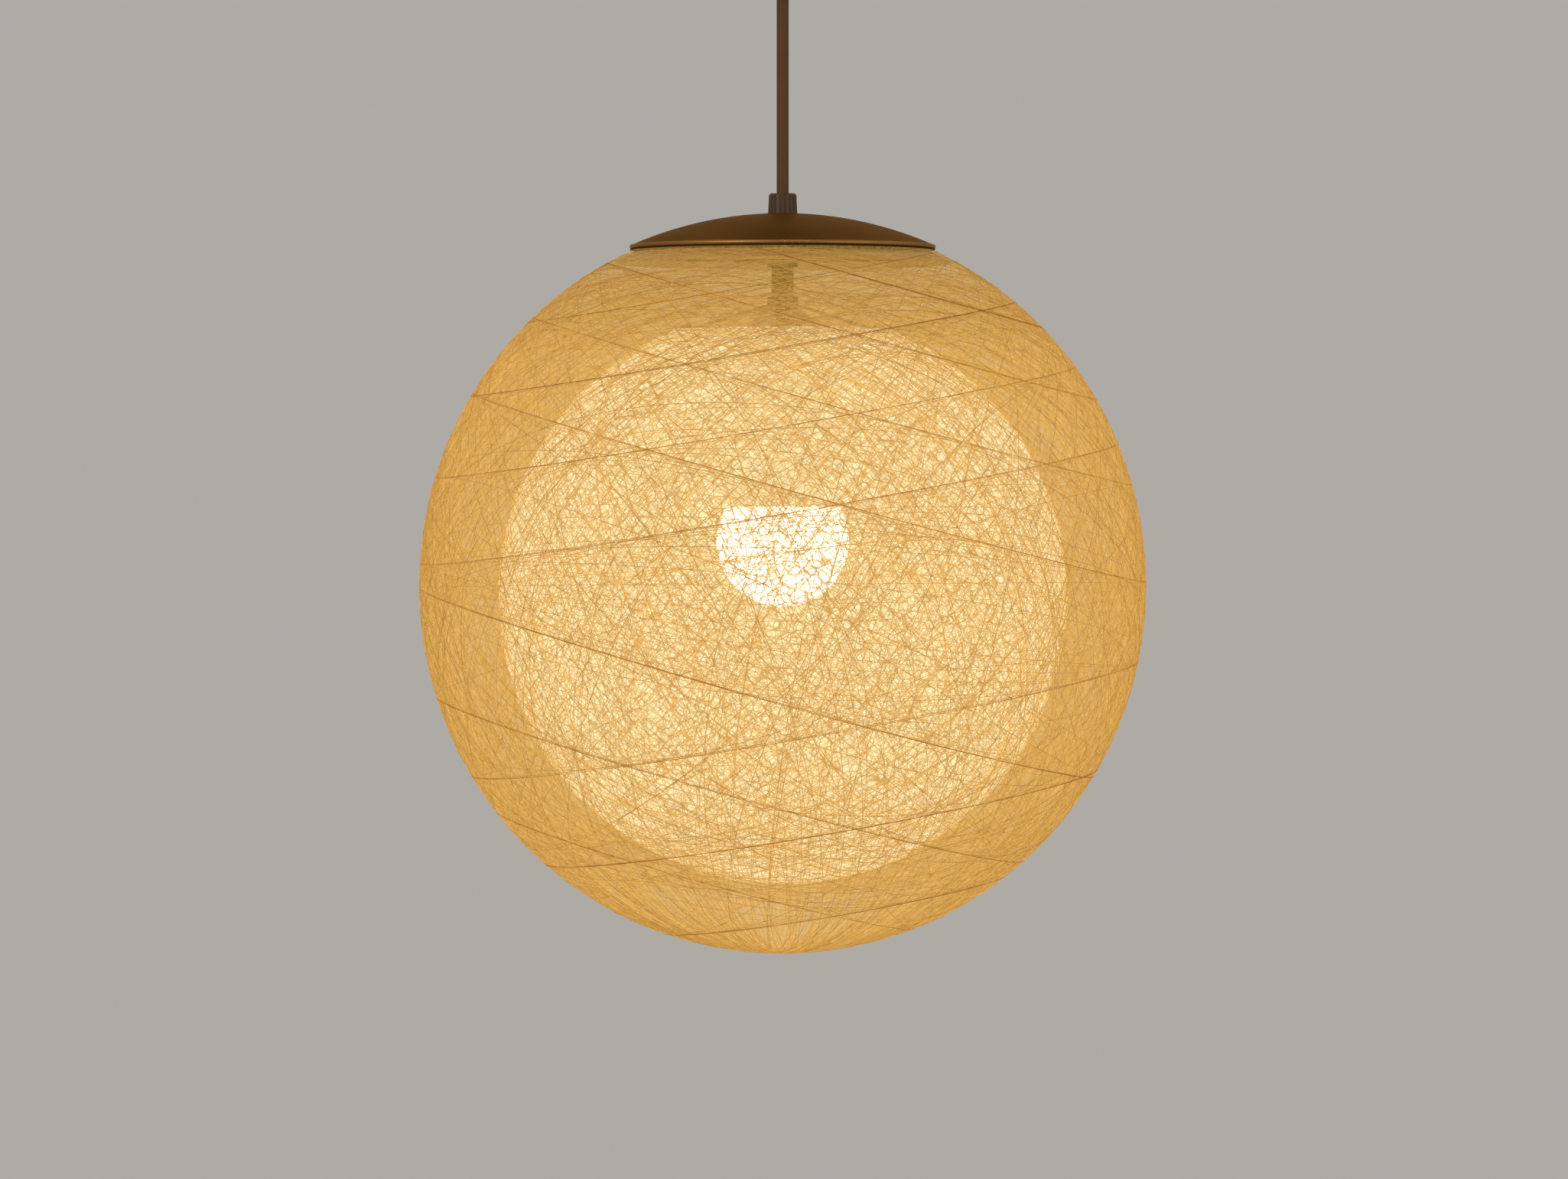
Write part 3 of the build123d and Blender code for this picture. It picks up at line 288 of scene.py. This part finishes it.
def wound_thread(name, light, dark, glow_light, glow_dark, brightness):
    """Glued thread: half its tone is the strand's own and half is cloudy along it, in its colour and in
    its glow, which is painted light from the bulb.
    """
    finish = Finish(name, Roughness=0.85, Specular_IOR_Level=0.2, Emission_Strength=1.0)
    strand = finish.node("ShaderNodeAttribute", {"attribute_name": "strand"})
    shade = Value(finish, strand.outputs["Fac"])
    uneven = finish.noise(320.0, 2.0) * 0.5 + shade * 0.5
    share = finish.span(uneven, 0.25, 0.75, 0.0, 1.0)
    finish.drive("Base Color", finish.blend(share, dark, light))
    lit_from_inside(finish, finish.blend(share, glow_dark, glow_light), brightness)
    return finish.material


def crackle(finish, cell, depth):
    """1 inside cells of a size in metres, falling to 1 - depth on the lines between them.

    It falls where the distance to a cell's edge is 0.07 to 0.01 of the cell's size.
    """
    voronoi = finish.node(
        "ShaderNodeTexVoronoi",
        {"feature": "DISTANCE_TO_EDGE"},
        {"Vector": finish.place(), "Scale": 1.0 / cell, "Randomness": 1.0},
    )
    return finish.span(Value(finish, voronoi.outputs["Distance"]), 0.01, 0.07, 1.0 - depth, 1.0)


def glowing_film(name, colour, glow, line_glow, clearness, brightness, cell, depth):
    """The thin glue film between strands: see-through, and crackled in large and small cells.

    inside is the product of the two crackles. The glow is painted light, the bulb's light through the
    film. The cells' glow has a share of 0.55 to 1, by the clouds, times inside, and the lines' glow has
    the rest. Alpha is 1 less the clearness, give or take 0.04 by the clouds, plus 0.85 of the clearness
    times what inside lacks of 1.
    """
    finish = Finish(name, Base_Color=colour, Roughness=0.7, Specular_IOR_Level=0.2, Emission_Strength=1.0)
    inside = crackle(finish, cell, depth) * crackle(finish, 0.6 * cell, 0.4 * depth)
    clouds = finish.noise(600.0, 2.0)
    share = finish.span(clouds, 0.3, 0.7, 0.55, 1.0)
    lit_from_inside(finish, finish.blend(share * inside, line_glow, glow), brightness)
    closed = finish.span(clouds, 0.3, 0.7, 1.0 - clearness - 0.04, 1.0 - clearness + 0.04)
    finish.drive("Alpha", closed + (1.0 - inside) * (0.85 * clearness))
    return finish.material


def smooth_sheath(name, colour, roughness):
    """A smooth round cord sheath with a very slight unevenness along it."""
    finish = Finish(name, Roughness=roughness, Specular_IOR_Level=0.3)
    finish.drive("Base Color", finish.blend(finish.noise(120.0), tinted(colour, 0.82), colour))
    finish.bump(finish.noise(420.0), 0.2, 0.00008)
    return finish.material


def opal_glow(name, glow, strength):
    """The lit opal cover: nearly even, a little warmer towards its joint at the top."""
    finish = Finish(name, Base_Color=(0.9, 0.88, 0.82), Roughness=0.35, Emission_Strength=strength)
    height = finish.parts(finish.place())[2]
    share = finish.span(height, BULB_LOW.z, BULB_HIGH.z, 0.0, 1.0)
    finish.drive("Emission Color", finish.blend(share, glow, tinted(glow, 1.0, 0.96, 0.90)))
    return finish.material


def pressed_felt(name, colour):
    """Dark pressed felt: short tangled fibres."""
    finish = Finish(name, Roughness=0.95, Specular_IOR_Level=0.1)
    fibres = finish.noise(2400.0, 4.0)
    finish.drive("Base Color", finish.blend(fibres, colour, tinted(colour, 1.6)))
    finish.bump(fibres, 0.6, 0.0002)
    return finish.material


def fired_ceramic(name, colour):
    """Glazed ceramic with a few pale clouds."""
    finish = Finish(name, Roughness=0.3, Coat_Weight=0.4, Coat_Roughness=0.1)
    finish.drive("Base Color", finish.blend(finish.noise(200.0), tinted(colour, 0.9), colour))
    return finish.material


def coated_board(name, colour, roughness):
    """A circuit board's coat over faint weave."""
    finish = Finish(name, Roughness=roughness)
    finish.drive("Base Color", finish.blend(finish.noise(3000.0), tinted(colour, 0.85), colour))
    return finish.material


# The globes' painted brightness: full up to the first height, then falling to a share at the second, a
# painted shade on the top of each globe.
OUTER_BRIGHTNESS = (GLOBE_MIDDLE + 0.100, GLOBE_MIDDLE + 0.155, 1.0, 0.62)
INNER_BRIGHTNESS = (INNER_MIDDLE + 0.070, INNER_MIDDLE + 0.122, 1.0, 0.97)

finishes = {
    "bracket_steel": plated("bracket_steel", (0.62, 0.62, 0.60), 0.32),
    # The cup copies the dome's dark warm brown: partly the lacquer's own bronze, partly painted warm lamp
    # light and shade.
    "cup_finish": spun_lacquer("cup_finish", (0.130, 0.058, 0.018), (0.160, 0.074, 0.024), 0.44),
    "screw_steel": plated("screw_steel", (0.50, 0.46, 0.40), 0.28),
    "nut_steel": plated("nut_steel", (0.22, 0.17, 0.11), 0.36),
    # The grip's dark warm brown is partly the plastic's own colour and partly painted warm lamp light and
    # shade, as on the dome.
    "grip_plastic": moulded("grip_plastic", (0.085, 0.034, 0.006), 0.5),
    "block_plastic": moulded("block_plastic", (0.80, 0.78, 0.72), 0.4),
    "brass": plated("brass", (0.75, 0.52, 0.22), 0.24),
    # The sheath's dark warm brown is painted: the lamp's warm light and shade on a pale cord.
    "cord_sheath": smooth_sheath("cord_sheath", (0.130, 0.050, 0.009), 0.5),
    "live_insulation": moulded("live_insulation", (0.16, 0.06, 0.025), 0.4),
    "neutral_insulation": moulded("neutral_insulation", (0.02, 0.07, 0.30), 0.4),
    # The dome's dark warm brown is partly the bronze lacquer's own colour and partly painted: the lamp's
    # warm light and the shade above the lamp.
    "dome_metal": spun_lacquer("dome_metal", (0.130, 0.056, 0.016), (0.158, 0.072, 0.022), 0.44),
    # The bead's lighter warm brown is partly its own paler metal and partly a painted highlight: the lamp
    # light that the rolled rim catches.
    "bead_metal": spun_lacquer("bead_metal", (0.34, 0.16, 0.045), (0.40, 0.20, 0.06), 0.28),
    # The felt's near-black is partly its own colour and partly painted shade: the dark gap under the
    # cap's rim.
    "felt": pressed_felt("felt", (0.03, 0.022, 0.015)),
    # The stem's near-black brown is partly its own dark steel and partly painted shade, so it shows as a
    # dark band against the glow.
    "stem_steel": plated("stem_steel", (0.07, 0.045, 0.025), 0.45),
    "gallery_steel": plated("gallery_steel", (0.42, 0.33, 0.24), 0.34),
    "holder_plastic": moulded("holder_plastic", (0.80, 0.74, 0.62), 0.4),
    "holder_ceramic": fired_ceramic("holder_ceramic", (0.85, 0.82, 0.75)),
    "bulb_nickel": plated("bulb_nickel", (0.66, 0.63, 0.58), 0.2),
    "bulb_black": moulded("bulb_black", (0.012, 0.012, 0.014), 0.3),
    "bulb_white": moulded("bulb_white", (0.85, 0.83, 0.78), 0.35),
    "bulb_glow": opal_glow("bulb_glow", (1.0, 1.0, 1.0), 9.5),
    "sink_aluminium": plated("sink_aluminium", (0.75, 0.76, 0.77), 0.3),
    "board_white": coated_board("board_white", (0.82, 0.83, 0.82), 0.4),
    "chip_yellow": coated_board("chip_yellow", (0.85, 0.62, 0.06), 0.5),
    "driver_green": coated_board("driver_green", (0.01, 0.09, 0.03), 0.35),
    "driver_black": moulded("driver_black", (0.02, 0.02, 0.022), 0.5),
    # The threads' glow colours are painted light: the bulb's light through the winding.
    "outer_thread": wound_thread(
        "outer_thread",
        light=(0.20, 0.11, 0.04),
        dark=(0.12, 0.06, 0.015),
        glow_light=(0.66, 0.37, 0.09),
        glow_dark=(0.37, 0.18, 0.03),
        brightness=OUTER_BRIGHTNESS,
    ),
    "inner_thread": wound_thread(
        "inner_thread",
        light=(0.20, 0.13, 0.05),
        dark=(0.12, 0.07, 0.02),
        glow_light=(1.15, 0.80, 0.32),
        glow_dark=(0.50, 0.23, 0.05),
        brightness=INNER_BRIGHTNESS,
    ),
}
# The turning lines' glow is painted light too, dimmer than the other threads'.
turning_thread = wound_thread(
    "turning_thread",
    light=(0.20, 0.10, 0.03),
    dark=(0.14, 0.06, 0.015),
    glow_light=(0.34, 0.14, 0.02),
    glow_dark=(0.20, 0.075, 0.008),
    brightness=OUTER_BRIGHTNESS,
)
# The films' glow and line glow are painted light: the bulb's light through the glue film.
outer_film_finish = glowing_film(
    "outer_film",
    colour=(0.06, 0.035, 0.012),
    glow=(1.02, 0.60, 0.11),
    line_glow=(0.55, 0.27, 0.03),
    clearness=0.845,
    brightness=OUTER_BRIGHTNESS,
    cell=0.0018,
    depth=0.25,
)
inner_film_finish = glowing_film(
    "inner_film",
    colour=(0.06, 0.05, 0.03),
    glow=(1.56, 1.54, 1.02),
    line_glow=(0.50, 0.22, 0.04),
    clearness=0.56,
    brightness=INNER_BRIGHTNESS,
    cell=0.0043,
    depth=0.95,
)

for row in frame["record"]["subparts"]:
    node = frame["nodes"][row["node"]]
    node.data.materials.clear()
    node.data.materials.append(finishes[row["material_slot"]])
cord_curve.materials.append(finishes["cord_sheath"])


# ---------------------------------------------------------------- surfaces
def add_mesh(name, points, faces, material, shades=None):
    """Makes a piece of the lamp from a (vertices, 3) array and a (faces, 4) array of corners.

    shades holds one number for each vertex, which the thread's finish reads as strand.
    """
    mesh = bpy.data.meshes.new(name)
    mesh.vertices.add(len(points))
    mesh.vertices.foreach_set("co", points.astype(np.float32).ravel())
    mesh.loops.add(faces.size)
    mesh.loops.foreach_set("vertex_index", faces.astype(np.int32).ravel())
    mesh.polygons.add(len(faces))
    mesh.polygons.foreach_set("loop_start", np.arange(0, faces.size, 4, dtype=np.int32))
    mesh.polygons.foreach_set("use_smooth", np.ones(len(faces), bool))
    if shades is not None:
        attribute = mesh.attributes.new("strand", "FLOAT", "POINT")
        attribute.data.foreach_set("value", shades.astype(np.float32))
    mesh.update(calc_edges=True)
    mesh.validate()
    mesh.materials.append(material)
    made = bpy.data.objects.new(name, mesh)
    bpy.context.scene.collection.objects.link(made)
    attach(made, "lamp")
    return made


def grid_faces(rings, around):
    """The four corners of each cell of a grid that closes on itself both along and around."""
    row = np.arange(rings)[:, None]
    column = np.arange(around)[None, :]
    next_row = (row + 1) % rings
    next_column = (column + 1) % around
    corners = [row * around + column, row * around + next_column]
    corners += [next_row * around + next_column, next_row * around + column]
    return np.stack(corners, axis=-1).reshape(-1, 4)


def unit(vectors):
    """Vectors, along the last axis, each divided by its own length."""
    return vectors / np.linalg.norm(vectors, axis=-1, keepdims=True)


def loops(facing, width, axis_lean, globe, steps, thickness, wobble, seed):
    """Strands wound on a globe, as closed three-sided tubes.

    Each strand is a circle on a sphere: facing is the (bearing, latitude) of the point it is
    centred on and width the angle from that point to the circle. The centres turn with the
    axis's lean, (to the side, to the front). Two small sine waves along each strand stand for
    the uneven hand of the winder: wobble times the sine of twice the angle, and 0.6 of it times
    the sine of five times the angle. The sphere is then stretched in height. What would cross
    the mouth runs round the mouth's edge instead. Each point gets a triangle square to the
    strand, in a circle of 0.75 to 1.75 times the thickness; most strands are near the thin end.
    """
    bearing, latitude = facing
    radius, stretch, middle, rim = globe
    random = np.random.default_rng(seed)
    count = len(bearing)
    flat_part = np.cos(latitude)
    centre = np.stack([flat_part * np.cos(bearing), flat_part * np.sin(bearing), np.sin(latitude)], 1)
    side, front = axis_lean
    turn_side = np.array([[cos(side), 0, sin(side)], [0, 1, 0], [-sin(side), 0, cos(side)]])
    turn_front = np.array([[1, 0, 0], [0, cos(front), -sin(front)], [0, sin(front), cos(front)]])
    centre = centre @ (turn_side @ turn_front).T
    not_along = np.where(np.abs(centre[:, 2:3]) > 0.9, [[1.0, 0, 0]], [[0, 0, 1.0]])
    first = unit(np.cross(not_along, centre))
    second = np.cross(centre, first)
    start = random.uniform(0, 2 * pi, (count, 1))
    angle = start + np.linspace(0, 2 * pi, steps, endpoint=False)[None, :]
    waves = random.uniform(0, 2 * pi, (count, 1))
    reach = width[:, None] + wobble * (np.sin(2 * angle + waves) + 0.6 * np.sin(5 * angle + 2 * waves))
    line = (
        centre[:, None, :] * np.cos(reach)[..., None]
        + first[:, None, :] * (np.sin(reach) * np.cos(angle))[..., None]
        + second[:, None, :] * (np.sin(reach) * np.sin(angle))[..., None]
    )
    line *= np.array([radius, radius, radius * stretch])
    mouth_height = stretch * np.sqrt(radius**2 - rim**2)
    from_axis = np.hypot(line[..., 0], line[..., 1])
    line[..., :2] *= np.where(line[..., 2] > mouth_height, rim / from_axis, 1.0)[..., None]
    line[..., 2] = np.minimum(line[..., 2], mouth_height)
    along = unit(np.roll(line, -1, 1) - np.roll(line, 1, 1))
    out = unit(line)
    across = unit(np.cross(along, out))
    corner = np.array([pi / 2, 7 * pi / 6, 11 * pi / 6])[:, None]
    half = (thickness / 2 * (0.75 + random.uniform(0, 1, count) ** 3))[:, None, None, None]
    sideways = np.sin(corner) * out[:, :, None, :] + np.cos(corner) * across[:, :, None, :]
    points = (line[:, :, None, :] + half * sideways).reshape(-1, 3) + np.array([0, 0, middle])
    first_points = (np.arange(count) * steps * 3)[:, None, None]
    faces = (grid_faces(steps, 3)[None] + first_points).reshape(-1, 4)
    shades = np.repeat(random.uniform(0, 1, count), steps * 3)
    return points, faces, shades


def film(name, globe, sink, finish, around=144, rings=72):
    """A thin closed wall with a globe's shape, a little below its strands and open at its mouth.

    Its profile runs from the globe's mouth down a short lip, down the outside to the bottom
    pole as a circle stretched in height, and back up the inside, one film thinner. The lowest
    ring of each side is a very small circle that stands for the pole.
    """
    radius, stretch, middle, rim = globe
    mouth_height = stretch * np.sqrt(radius**2 - rim**2)
    outer = radius - sink
    latitude = np.linspace(np.arccos(rim / outer), -pi / 2 + POLE_ANGLE, rings)
    outside = np.stack([outer * np.cos(latitude), outer * stretch * np.sin(latitude)], 1)
    inner = outer - FILM
    inside = np.stack([inner * np.cos(latitude), (outer * stretch - FILM) * np.sin(latitude)], 1)[::-1]
    pole = [[POLE_RADIUS, outside[-1, 1]], [POLE_RADIUS, inside[0, 1]]]
    top_outside, top_inside = [[rim, mouth_height]], [[inside[-1, 0], mouth_height]]
    profile = np.concatenate([top_outside, outside, pole, inside, top_inside])
    turn = np.linspace(0, 2 * pi, around, endpoint=False)
    points = np.empty((len(profile), around, 3))
    points[..., 0] = profile[:, :1] * np.cos(turn)
    points[..., 1] = profile[:, :1] * np.sin(turn)
    points[..., 2] = profile[:, 1:] + middle
    faces = grid_faces(len(profile), around)[:, ::-1]
    return add_mesh(name, points.reshape(-1, 3), faces, finish)


def spread(count, seed):
    """Bearings evenly round the axis, each moved by up to a third of a step."""
    random = np.random.default_rng(seed)
    return (np.arange(count) + random.uniform(-0.33, 0.33, count)) * 2 * pi / count


def steep_strands(count, globe, steps, thickness, seed):
    """Strands from below the mouth down to the bottom pole.

    Each reaches up to a latitude from just below the mouth's to 32 degrees lower, more of them
    to the upper part of that range, and down to between 3 degrees before the pole and 2 past it.
    """
    random = np.random.default_rng(seed)
    radius, stretch, middle, rim = globe
    mouth_latitude = np.arccos(rim / radius)
    upper = mouth_latitude - MOUTH_CLEARANCE - radians(32.0) * random.uniform(0.0, 1.0, count) ** 1.5
    lower = radians(-87.0) - random.uniform(0.0, radians(5.0), count)
    facing = (spread(count, seed), (upper + lower) / 2)
    return loops(facing, (upper - lower) / 2, UPRIGHT, globe, steps, thickness, STEEP_WOBBLE, seed)


def belt_strands(count, upper, lower, lean, globe, steps, thickness, seed, uneven=0.0):
    """Slanting strands that turn back at an upper and a lower latitude round a leaning axis.

    Such a circle leans by half the difference of the two latitudes, give or take uneven, and
    lies off the globe's middle by half their sum. All are in degrees.
    """
    random = np.random.default_rng(seed)
    upper, lower, uneven = radians(upper), radians(lower), radians(uneven)
    slope = (upper - lower) / 2 + random.uniform(-uneven, uneven, count)
    shift = (upper + lower) / 2
    facing = (spread(count, seed), slope - pi / 2)
    width = np.full(count, pi / 2 + shift)
    return loops(facing, width, lean, globe, steps, thickness, SLANTING_WOBBLE, seed)


def turning_lines(latitudes, lean, globe, steps, thickness, seed, strands=3):
    """The dark lines where slanting strands turn back: a few strands close together, all round."""
    random = np.random.default_rng(seed)
    scatter = random.uniform(-0.0022, 0.0022, len(latitudes) * strands)
    latitude = np.repeat(np.radians(latitudes), strands) + scatter
    facing = (np.zeros(len(latitude)), np.full(len(latitude), pi / 2))
    return loops(facing, pi / 2 - latitude, lean, globe, steps, thickness, TURNING_WOBBLE, seed)


def tangled_strands(pairs, globe, steps, thickness, seed):
    """Strands in every direction, two side by side, all of them clear of the mouth.

    Each pair's circle is a great circle, or the widest whose top is 0 to 4 degrees below the mouth.
    """
    random = np.random.default_rng(seed)
    radius, stretch, middle, rim = globe
    bearing = random.uniform(0, 2 * pi, pairs)
    latitude = np.arcsin(random.uniform(-1.0, sin(radians(-12.0)), pairs))
    top = np.arccos(rim / radius) - random.uniform(0, radians(4.0), pairs)
    width = np.minimum(pi / 2, top - latitude)
    beside = random.uniform(0.6, 1.0) * thickness * 1.05 / radius
    facing = (np.repeat(bearing, 2), np.repeat(latitude, 2))
    widths = np.repeat(width, 2) - np.tile([0.0, beside], pairs)
    return loops(facing, widths, UPRIGHT, globe, steps, thickness, TANGLE_WOBBLE, seed)


def winding(name, groups, finish):
    """One piece of a globe's winding, from its groups of strands' (points, faces, shades)."""
    points, faces, shades = zip(*groups)
    first_points = np.cumsum([0] + [len(part) for part in points[:-1]])
    faces = np.concatenate([part + first for part, first in zip(faces, first_points)])
    return add_mesh(name, np.concatenate(points), faces, finish, np.concatenate(shades))


def outer_layer(depth):
    """The outer globe at a depth under its surface: radius, stretch, middle height, mouth radius."""
    return (GLOBE_RADIUS - depth, GLOBE_STRETCH, GLOBE_MIDDLE, MOUTH_RADIUS)


def inner_layer(depth):
    """The inner globe at a depth under its surface, as outer_layer gives the outer one."""
    return (INNER_RADIUS - depth, INNER_STRETCH, INNER_MIDDLE, INNER_MOUTH_RADIUS)


# The winding's axes, as (lean to the side, lean to the front).
UPRIGHT = (0.0, 0.0)
FALLING_LEAN = (radians(15.4), radians(1.9))
RISING_LEAN = (radians(-9.6), radians(2.5))

# The latitudes, in degrees from each axis's own equator, where slanting strands turn back.
FALLING_TURNS = [59.8, 45.6, 31.2, 16.0, -15.7, -33.0, -53.2]
RISING_TURNS = [55.2, 40.6, 26.8, 13.0, -21.4, -39.4, -61.0]
FALLING_BELTS = [(16.0, -15.7), (31.2, -33.0), (45.6, -53.2)]
RISING_BELTS = [(13.0, -21.4), (26.8, -39.4), (40.6, -61.0)]

outer_thread = finishes["outer_thread"]
outer_film = film(
    "outer_globe_film", outer_layer(OUTER_EDGE), OUTER_FILM_DEPTH, outer_film_finish
)
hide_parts("outer_globe")

steep = steep_strands(490, outer_layer(STEEP_DEPTH), steps=64, thickness=OUTER_THREAD, seed=11)
winding("outer_winding_steep", [steep], outer_thread)

slanting_layer = outer_layer(SLANTING_DEPTH)
crossing = belt_strands(
    340, 50.0, -50.0, UPRIGHT, slanting_layer, steps=60, thickness=OUTER_THREAD, seed=21, uneven=8.0
)
winding("outer_winding_crossing", [crossing], outer_thread)

slanting = [
    belt_strands(56, upper, lower, lean, slanting_layer, steps=60, thickness=OUTER_THREAD, seed=seed)
    for lean, belts, first_seed in [(FALLING_LEAN, FALLING_BELTS, 31), (RISING_LEAN, RISING_BELTS, 41)]
    for seed, (upper, lower) in enumerate(belts, start=first_seed)
]
winding("outer_winding_slanting", slanting, outer_thread)

turning = [
    turning_lines(turns, lean, slanting_layer, steps=160, thickness=OUTER_THREAD, seed=seed)
    for turns, lean, seed in [(FALLING_TURNS, FALLING_LEAN, 51), (RISING_TURNS, RISING_LEAN, 52)]
]
winding("outer_winding_turns", turning, turning_thread)

inner_film = film(
    "inner_globe_film", inner_layer(INNER_EDGE), INNER_FILM_DEPTH, inner_film_finish
)
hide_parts("inner_globe")
tangle = tangled_strands(80, inner_layer(TANGLE_DEPTH), steps=72, thickness=INNER_THREAD, seed=31)
winding("inner_winding", [tangle], finishes["inner_thread"])


# ---------------------------------------------------------------- studio
def panel(name, centre, target, size, power, colour):
    """A soft square light at a place, turned to a target."""
    light = bpy.data.lights.new(name, "AREA")
    light.shape = "SQUARE"
    light.size = size
    light.energy = power
    light.color = colour
    made = bpy.data.objects.new(name, light)
    made.location = centre
    aim = np.array(target) - np.array(centre)
    level_part = np.hypot(aim[0], aim[1])
    made.rotation_euler = (pi / 2 + atan2(aim[2], level_part), 0.0, atan2(aim[1], aim[0]) - pi / 2)
    bpy.context.scene.collection.objects.link(made)


CEILING_HEIGHT = 3.6  # above the floor, which leaves room for views from below
FLOOR_SIZE = 56.0

floor_finish = Finish("studio_floor", Base_Color=(0.78, 0.76, 0.73), Roughness=0.85)
floor_mesh = bpy.data.meshes.new("studio_floor")
half = FLOOR_SIZE / 2
corners = [(-half, -half), (half, -half), (half, half), (-half, half)]
floor_mesh.from_pydata([(x, y, -CEILING_HEIGHT) for x, y in corners], [], [(0, 1, 2, 3)])
floor_mesh.materials.append(floor_finish.material)
floor = bpy.data.objects.new("studio_floor", floor_mesh)
bpy.context.scene.collection.objects.link(floor)

world = bpy.data.worlds.new("studio")
world.use_nodes = True
backdrop = world.node_tree.nodes["Background"]
backdrop.inputs["Color"].default_value = (0.47, 0.45, 0.42, 1.0)
backdrop.inputs["Strength"].default_value = 0.9
bpy.context.scene.world = world

aim_point = (0.0, 0.0, GLOBE_MIDDLE)
sky_light = bpy.data.lights.new("studio_sky", "SUN")
sky_light.energy = 0.44
sky_light.angle = radians(120.0)
sky_light.color = (0.85, 0.91, 1.0)
sky = bpy.data.objects.new("studio_sky", sky_light)
bpy.context.scene.collection.objects.link(sky)
panel("studio_key", (-1.6, -2.2, 0.9), aim_point, 1.6, 22.0, (1.0, 0.97, 0.93))
panel("studio_fill", (2.0, -1.6, 0.2), aim_point, 1.8, 9.0, (0.95, 0.97, 1.0))

# ---------------------------------------------------------------- end
bpy.context.view_layer.update()
